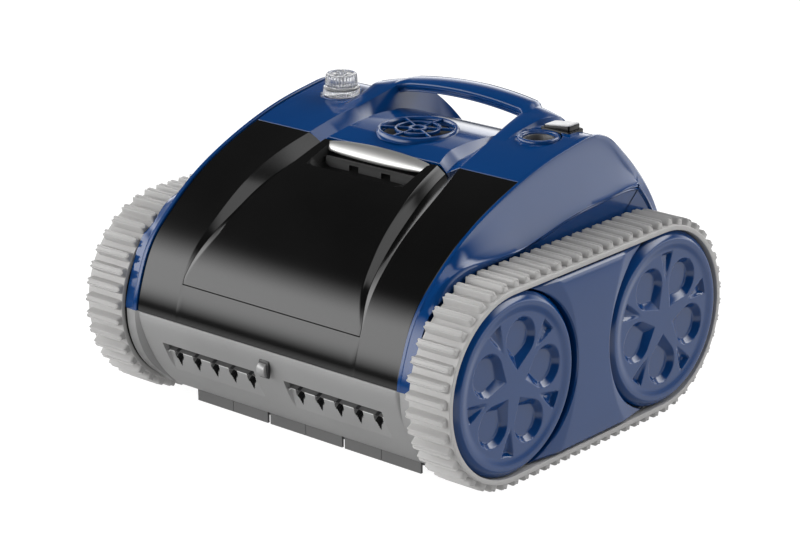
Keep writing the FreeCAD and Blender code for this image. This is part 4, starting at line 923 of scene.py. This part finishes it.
def make_deck():
    """The blue deck: a sunk well with a raised middle, two rails up to the handle and two dial seats."""
    start = front_back(COVER_BACK + 0.2)
    seats = (front_back(DIAL_Y - 23), front_back(DIAL_Y + 23))
    finish = outline.where(1, SEAM_Z + 0.25, TOP + 60, outline.length)
    t = np.concatenate([[start, start, start + 0.4], steps_between(start + 2, seats[0], 2.2)[:-1],
                        np.arange(seats[0], seats[1], 0.9), steps_between(seats[1], finish - 1, 2.2),
                        [finish - 0.4, finish, finish]])
    base = outline.at(t)
    y, deck_z = base[:, 0], base[:, 1]
    inner, outer = along_y(RAIL_INNER, y), along_y(RAIL_OUTER, y)
    plateau, valley = along_y(PLATEAU_EDGE, y), along_y(VALLEY_LINE, y)
    upper = (t < outline.where(0, 164.0, TOP, outline.length)) & (y < 165)
    rail = np.where(upper, np.maximum(along_y(RAIL_LINE, y) - deck_z, 0), 0)
    rail = rail * (1 - ease((y - 148) / 16))
    well = np.where(upper & (y < 125), np.minimum(along_y(WELL_LINE, y) - deck_z, 0), 0)
    groove = np.where(upper, 7.2 * (1 - ease((y - 48) / 26)), 0)
    slope = 5.5 * ease((y - 70) / 26) * (rail > 4)
    columns = [(0 * y + plateau * k, well) for k in np.linspace(0, 1, 34)]
    for k in (0.12, 0.5, 0.9, 1.0):
        columns.append((plateau + (valley - plateau) * k, well - groove * k))
    for k in (0.06, 0.5, 0.92, 0.98, 1.0):
        columns.append((valley + (inner - valley) * k, (well - groove) * (1 - k) + rail * k))
    top = rail + 0.35 * np.minimum(rail, 1)
    for k in (0.06, 0.3, 0.6, 0.94, 1.0):
        columns.append((inner + (outer - inner) * k, (top if k < 1 else rail) - slope * k ** 1.5))
    foot = outer + 1.2 + 0.22 * rail
    for k in (0.06, 0.5, 0.92, 1.0):
        columns.append((outer + (foot - outer) * k, (rail - slope) * (1 - k)))
    near = foot + 1.4
    columns.append((near, 0 * y))
    far = DIAL_X + 22
    for k in np.linspace(0, 1, 42)[1:]:
        columns.append((near + (far - near) * k, 0 * y))
    for k in np.linspace(0, 1, 6)[1:]:
        columns.append((far + (152.9 - far) * k + 0 * y, 0 * y))
    for x, sink in ((153.5, 0.18), (153.85, 0.6), (153.9, 3.0)):
        columns.append((0 * y + x, 0 * y - sink))
    x = np.stack([c[0] for c in columns], axis=1)
    lift = np.stack([c[1] for c in columns], axis=1)
    deep = np.zeros_like(lift)
    deep[[0, -1]] = 3.0
    deep[[1, -2]] = 0.35
    half = []
    for side in (-1, 1):
        points = on_outline(np.repeat(t[:, None], x.shape[1], axis=1), side * x, deep)
        points[:, :, 2] += lift
        away = np.sqrt((points[:, :, 0] - side * DIAL_X) ** 2 + (points[:, :, 1] - DIAL_Y) ** 2)
        reach, floor_z = (18.6, 252.4) if side < 0 else (19.6, 253.2)
        sunk = 1 - ease((away - reach) / 1.3)
        near_dial = (away < 26)
        points[:, :, 2] = np.where(near_dial, points[:, :, 2] * (1 - sunk) + floor_z * sunk, points[:, :, 2])
        if side > 0:
            points[:, :, 2] = np.where(away < 15.4, 241.0, points[:, :, 2])
        outlet = np.sqrt(points[:, :, 0] ** 2 + (points[:, :, 1] - OUTLET_Y) ** 2)
        points[:, :, 2] = np.where(outlet < 34.4, 238.0, points[:, :, 2])
        half.append(points)
    shape = Shape().grid(half[1])
    shape.grid(half[0][:, ::-1])
    return shape


make_deck().piece("look_upper_shell", "blue_gloss", "chassis", ["upper_shell"], sharp=28, outward=False)

BAR_SECTION = [(0.6, 0.3), (0.0, -0.3), (-0.3, -1.2), (-0.3, -3.8), (0.2, -4.5), (1.2, -4.8), (1.2, -6.3),
               (-0.6, -6.7), (-0.9, -7.2), (-0.6, -7.9), (3, -8.8), (12, -9.2), (22, -8.8), (27, -7.2),
               (28.6, -4.0), (28.0, -1.2), (25.5, 0.9), (20, 2.5), (14, 3.2), (8, 2.7), (3, 1.4)]


def make_bar():
    """The arched grip between the rails, with a fine flange along its lower front edge."""
    rings = []
    for x in np.linspace(-84, 84, 49):
        arch = 270.4 - 6.1 * (x / 72.8) ** 2 - 1.6 * ease((abs(x) - 68) / 14)
        swell = 1 + 0.10 * (1 - (x / 84) ** 2)
        forward = 7.0 * ease((abs(x) - 66) / 12)
        rings.append([(x, 82.0 - forward + u * swell, arch + v) for u, v in BAR_SECTION])
    return Shape().tube(rings)


make_bar().piece("look_carry_handle", "blue_gloss", "chassis", ["carry_handle"], sharp=34)


# ---------------------------------------------------------------- outlet, port, knob and switch
OUTLET = (0, OUTLET_Y)
CHARGE_PORT, VALVE = (DIAL_X, DIAL_Y), (-DIAL_X, DIAL_Y)


def make_grille():
    """A low ring with a rounded shoulder, a middle ring, a hub and six spokes."""
    profile = [(37.6, 243.0), (37.6, 246.2), (36.9, 247.3), (36.3, 248.4), (35.7, 249.1), (34.8, 249.4),
               (33.9, 249.2), (33.3, 248.6), (33.1, 248.0), (32.6, 247.6), (32.4, 246.6), (32.4, 243.0)]
    shape = Shape().lathe(profile, OUTLET, 120)
    for near, far in ((5.2, 8.6), (18.6, 21.0)):
        ring = rounded([(near, 245.2), (near, 249.0), (far, 249.0), (far, 245.2)], 0.8, 3)
        shape.lathe(np.concatenate([ring, ring[:1]]), OUTLET, 96)
    section = rounded([(-0.95, 246.4), (-0.95, 249.0), (0.95, 249.0), (0.95, 246.4)], 0.5, 2)
    for i in range(6):
        turn = math.radians(30 + 60 * i)
        c, s = math.cos(turn), math.sin(turn)
        rings = []
        for reach in (7.0, 13, 20, 26, 33.2):
            rings.append([(c * reach - s * a, OUTLET_Y + s * reach + c * a, z) for a, z in section])
        shape.tube(rings)
    return shape


make_grille().piece("look_outlet_grille", "blue_gloss", "chassis", ["outlet_grille"], sharp=50)

mesh_rings = []
for r in np.linspace(0.5, 31.5, 24):
    a = np.linspace(0, 2 * math.pi, 96, endpoint=False)
    ripple = 243.2 + 0.5 * np.sin(a * 24) * (r > 8)
    mesh_rings.append(np.stack([r * np.cos(a), OUTLET_Y + r * np.sin(a), ripple], axis=1))
Shape().grid(np.array(mesh_rings), wrap_columns=True).piece(
    "look_outlet_mesh", "dark_plastic", "chassis", ["outlet_mesh"], sharp=20)

RING_PROFILE = [(19.4, 252.0), (19.4, 254.6), (18.9, 255.9), (18.2, 256.6), (17.2, 256.8), (16.3, 256.4),
                (15.9, 255.4), (15.2, 255.2), (14.7, 254.9), (14.5, 254.0), (14.5, 243.0)]
SOCKET_PROFILE = [(14.4, 243.0), (14.4, 253.4), (13.9, 253.9), (12.6, 253.9), (12.1, 253.4), (12.0, 240.5),
                  (3.4, 240.5), (3.2, 240.9), (3.2, 246.0), (2.6, 246.8), (0.01, 247.0)]
SEAT_PROFILE = [(18.3, 250.0), (18.3, 252.7), (17.9, 253.1), (11.0, 253.1), (10.6, 252.8), (10.6, 243.0)]
for node, look, place, profile in (("charge_ring", "blue_gloss", CHARGE_PORT, RING_PROFILE),
                                   ("charge_socket", "grey_plastic", CHARGE_PORT, SOCKET_PROFILE),
                                   ("valve_seat", "blue_gloss", VALVE, SEAT_PROFILE)):
    Shape().lathe(profile, place, 96).piece("look_" + node, look, "chassis", [node], sharp=45)


def make_knob():
    """A clear turning cap: a fluted skirt, a fluted drum above it, a dished top and a small cross grip."""
    under = [(0.01, 254.6), (10.8, 254.5), (11.2, 254.0)]
    skirt = [(11.6, 253.6), (16.0, 253.7), (16.7, 254.3), (16.9, 255.0), (17.0, 258.0), (16.9, 260.6),
             (16.4, 261.3), (15.5, 261.6), (15.1, 262.0)]
    drum = [(14.9, 262.6), (14.9, 266.0), (14.8, 270.0), (14.7, 272.2), (14.4, 273.0), (13.6, 273.5),
            (12.6, 273.3), (12.0, 272.6), (10.0, 272.3), (5.0, 272.5), (4.2, 272.9)]
    crown = [(4.0, 273.6), (3.9, 275.4), (3.4, 276.3), (2.4, 276.6), (0.01, 276.7)]
    # Each set of flutes: its lowest and highest level, how many and how deep.
    flutes = [(254.5, 260.8, 44, 0.07), (262.5, 272.4, 30, 0.12), (273.5, 276.65, 4, 0.30)]

    def flute(angle, height):
        for low, high, count, depth in flutes:
            if low < height < high:
                return 1 - depth * (0.5 + 0.5 * np.cos(count * angle)) ** 2
        return 1 + 0 * angle

    return Shape().lathe(under + skirt + drum + crown, VALVE, 264, flute)


make_knob().piece("look_valve_knob", "clear_plastic", "knob", ["valve_knob"], sharp=50)
CORE_PROFILE = [(0.01, 255.6), (8.0, 255.8), (8.4, 256.2), (8.4, 262.0), (8.0, 262.6), (4.2, 262.8),
                (3.9, 263.2), (3.9, 268.6), (3.4, 269.2), (0.01, 269.3)]
Shape().lathe(CORE_PROFILE, VALVE).piece("look_valve_knob_core", "clear_plastic", "knob", sharp=50)

ROCKER_MIDDLE_Y, ROCKER_HALF_Y = 76.0, 9.4


def rocker_outline(x_low, x_high, half_y):
    near, far = ROCKER_MIDDLE_Y - half_y, ROCKER_MIDDLE_Y + half_y
    return rounded([(x_low, near), (x_high, near), (x_high, far), (x_low, far)], 2.4)


def make_bezel():
    rings = []
    for grow, z in ((0.0, 247.0), (0.0, 257.2), (-0.5, 258.0), (-1.5, 258.2), (-2.3, 257.8), (-2.4, 250.0)):
        rings.append([(x, y, z) for x, y in rocker_outline(103.4 - grow, 136.4 + grow, 10.6 + grow)])
    return Shape().grid(np.array(rings), wrap_columns=True)


make_bezel().piece("look_rocker_bezel", "switch_black", "chassis", ["rocker_bezel"], sharp=40)


ROCKER_FOOT, ROCKER_LOW, ROCKER_HIGH = 252.0, 260.4, 263.6


def rocker_top(x):
    """Height of the rocker's sloping, slightly bowed top at x."""
    share = (x - 106.0) / 27.0
    share = share + 0.10 * np.sin(math.pi * np.clip(share, 0, 1))
    return ROCKER_LOW + (ROCKER_HIGH - ROCKER_LOW) * share


def rocker_tube(levels, grow):
    """Rings up the rocker; levels are (share of its height, inset)."""
    rings = []
    for share, inset in levels:
        wider = grow - inset
        outline_here = rocker_outline(106.4 - wider, 133.4 + wider, ROCKER_HALF_Y - 1.6 + wider)
        rings.append([(x, y, ROCKER_FOOT + (rocker_top(x) - ROCKER_FOOT) * share) for x, y in outline_here])
    return Shape().tube(rings)


rocker_tube([(0.0, 0.4), (0.3, 0.0), (0.86, 0.0), (0.90, 0.3)], 0.6).piece(
    "look_power_rocker_body", "switch_black", "rocker", sharp=40)
rocker_tube([(0.88, 0.35), (0.92, 0.05), (0.97, 0.1), (0.992, 0.6), (1.0, 1.6)], 0.3).piece(
    "look_power_rocker", "switch_silver", "rocker", ["power_rocker"], sharp=40)

# ---------------------------------------------------------------- stage
FLOOR_RADIUS, FLOOR_RINGS, FLOOR_STEPS = 1.6, 4, 48
# How brightly the floor glows, from looking straight down at it to looking along it.
FLOOR_GLOW = [(0.0, 0.26), (0.46, 0.36), (0.54, 0.96), (0.80, 0.96), (0.91, 0.24)]


def make_floor():
    """A round pale floor that stays white from the camera's height and casts little light from underneath."""
    mesh = bpy.data.meshes.new("floor")
    build = bmesh.new()
    rows = []
    for radius in np.linspace(0, FLOOR_RADIUS, FLOOR_RINGS + 1)[1:]:
        angles = [2 * math.pi * i / FLOOR_STEPS for i in range(FLOOR_STEPS)]
        rows.append([build.verts.new((radius * math.cos(a), radius * math.sin(a), 0)) for a in angles])
    centre = build.verts.new((0, 0, 0))
    for i in range(FLOOR_STEPS):
        after = (i + 1) % FLOOR_STEPS
        build.faces.new((centre, rows[0][i], rows[0][after]))
        for inner, outer in zip(rows, rows[1:]):
            build.faces.new((inner[i], outer[i], outer[after], inner[after]))
    build.to_mesh(mesh)
    build.free()
    floor = bpy.data.objects.new("floor", mesh)
    bpy.context.scene.collection.objects.link(floor)
    finish = Finish("floor")
    soft = finish.noise(3.0, 2.0)
    slant = finish.node("ShaderNodeLayerWeight", {"Blend": 0.5}).outputs["Facing"]
    glow = finish.ramp(slant, [(position, rgba(level, level, level)) for position, level in FLOOR_GLOW])
    finish.set(Base_Color=finish.ramp(soft, [(0.3, rgba(0.14, 0.14, 0.14)), (0.7, rgba(0.16, 0.16, 0.16))]),
               Roughness=0.9, Specular_IOR_Level=0.1, Emission_Color=rgba(1, 1, 1), Emission_Strength=glow)
    mesh.materials.append(finish.material)


# Soft boxes of the studio: heading in degrees from +X, half width, lowest and highest elevation, strength.
SOFT_BOXES = [
    (-130, 48, 5, 33, 4.8),
    (69, 34, 28, 52, 6.0),
    (128, 45, 1, 16, 2.6),
    (45, 34, -10, 13, 2.5),
    (0, 150, 66, 120, 1.9),
]
BASE_LIGHT, BACKDROP_LIGHT = 0.06, 1.1
# How far a soft box fades out at its sides, its lower edge and its upper edge, in degrees.
FADE_ACROSS, FADE_LOW, FADE_HIGH = 16, 4, 13


def make_world():
    """A studio with soft boxes round the object, and a plain white backdrop for the camera."""
    world = bpy.data.worlds.new("studio")
    bpy.context.scene.world = world
    world.use_nodes = True
    tree = world.node_tree
    links = tree.links

    def fill(socket, value):
        if isinstance(value, bpy.types.NodeSocket):
            links.new(value, socket)
        else:
            socket.default_value = value

    def math_node(kind, *values):
        node = tree.nodes.new("ShaderNodeMath")
        node.operation = kind
        for socket, value in zip(node.inputs, values):
            fill(socket, value)
        return node.outputs[0]

    def smooth(value, low, high):
        node = tree.nodes.new("ShaderNodeMapRange")
        node.interpolation_type = "SMOOTHSTEP"
        for name, amount in (("From Min", low), ("From Max", high), ("Value", value)):
            fill(node.inputs[name], amount)
        return node.outputs["Result"]

    def background(strength):
        node = tree.nodes.new("ShaderNodeBackground")
        node.inputs["Color"].default_value = rgba(1, 1, 1)
        fill(node.inputs["Strength"], strength)
        return node.outputs["Background"]

    def cosine(degrees):
        return math.cos(math.radians(degrees))

    def sine(degrees):
        return math.sin(math.radians(degrees))

    coordinate = tree.nodes.new("ShaderNodeTexCoord")
    axes = tree.nodes.new("ShaderNodeSeparateXYZ")
    links.new(coordinate.outputs["Generated"], axes.inputs["Vector"])
    x, y, z = axes.outputs
    flat = math_node("SQRT", math_node("ADD", math_node("MULTIPLY", x, x), math_node("MULTIPLY", y, y)))
    flat = math_node("MAXIMUM", flat, 0.001)
    total = BASE_LIGHT
    for heading, half_width, low, high, strength in SOFT_BOXES:
        along = math_node("ADD", math_node("MULTIPLY", x, cosine(heading)),
                          math_node("MULTIPLY", y, sine(heading)))
        facing = math_node("DIVIDE", along, flat)
        across = smooth(facing, cosine(half_width + FADE_ACROSS), cosine(half_width - FADE_ACROSS))
        rise = smooth(z, sine(low - FADE_LOW), sine(low + FADE_LOW))
        fall = smooth(z, sine(high + FADE_HIGH), sine(high - FADE_HIGH))
        box = math_node("MULTIPLY", math_node("MULTIPLY", across, rise),
                        math_node("MULTIPLY", fall, strength))
        total = math_node("ADD", total, box)
    mix = tree.nodes.new("ShaderNodeMixShader")
    links.new(tree.nodes.new("ShaderNodeLightPath").outputs["Is Camera Ray"], mix.inputs["Fac"])
    links.new(background(total), mix.inputs[1])
    links.new(background(BACKDROP_LIGHT), mix.inputs[2])
    links.new(mix.outputs["Shader"], tree.nodes["World Output"].inputs["Surface"])


make_camera()
make_floor()
make_world()
scene = bpy.context.scene
scene.view_settings.view_transform = "Standard"
scene.view_settings.look = "None"
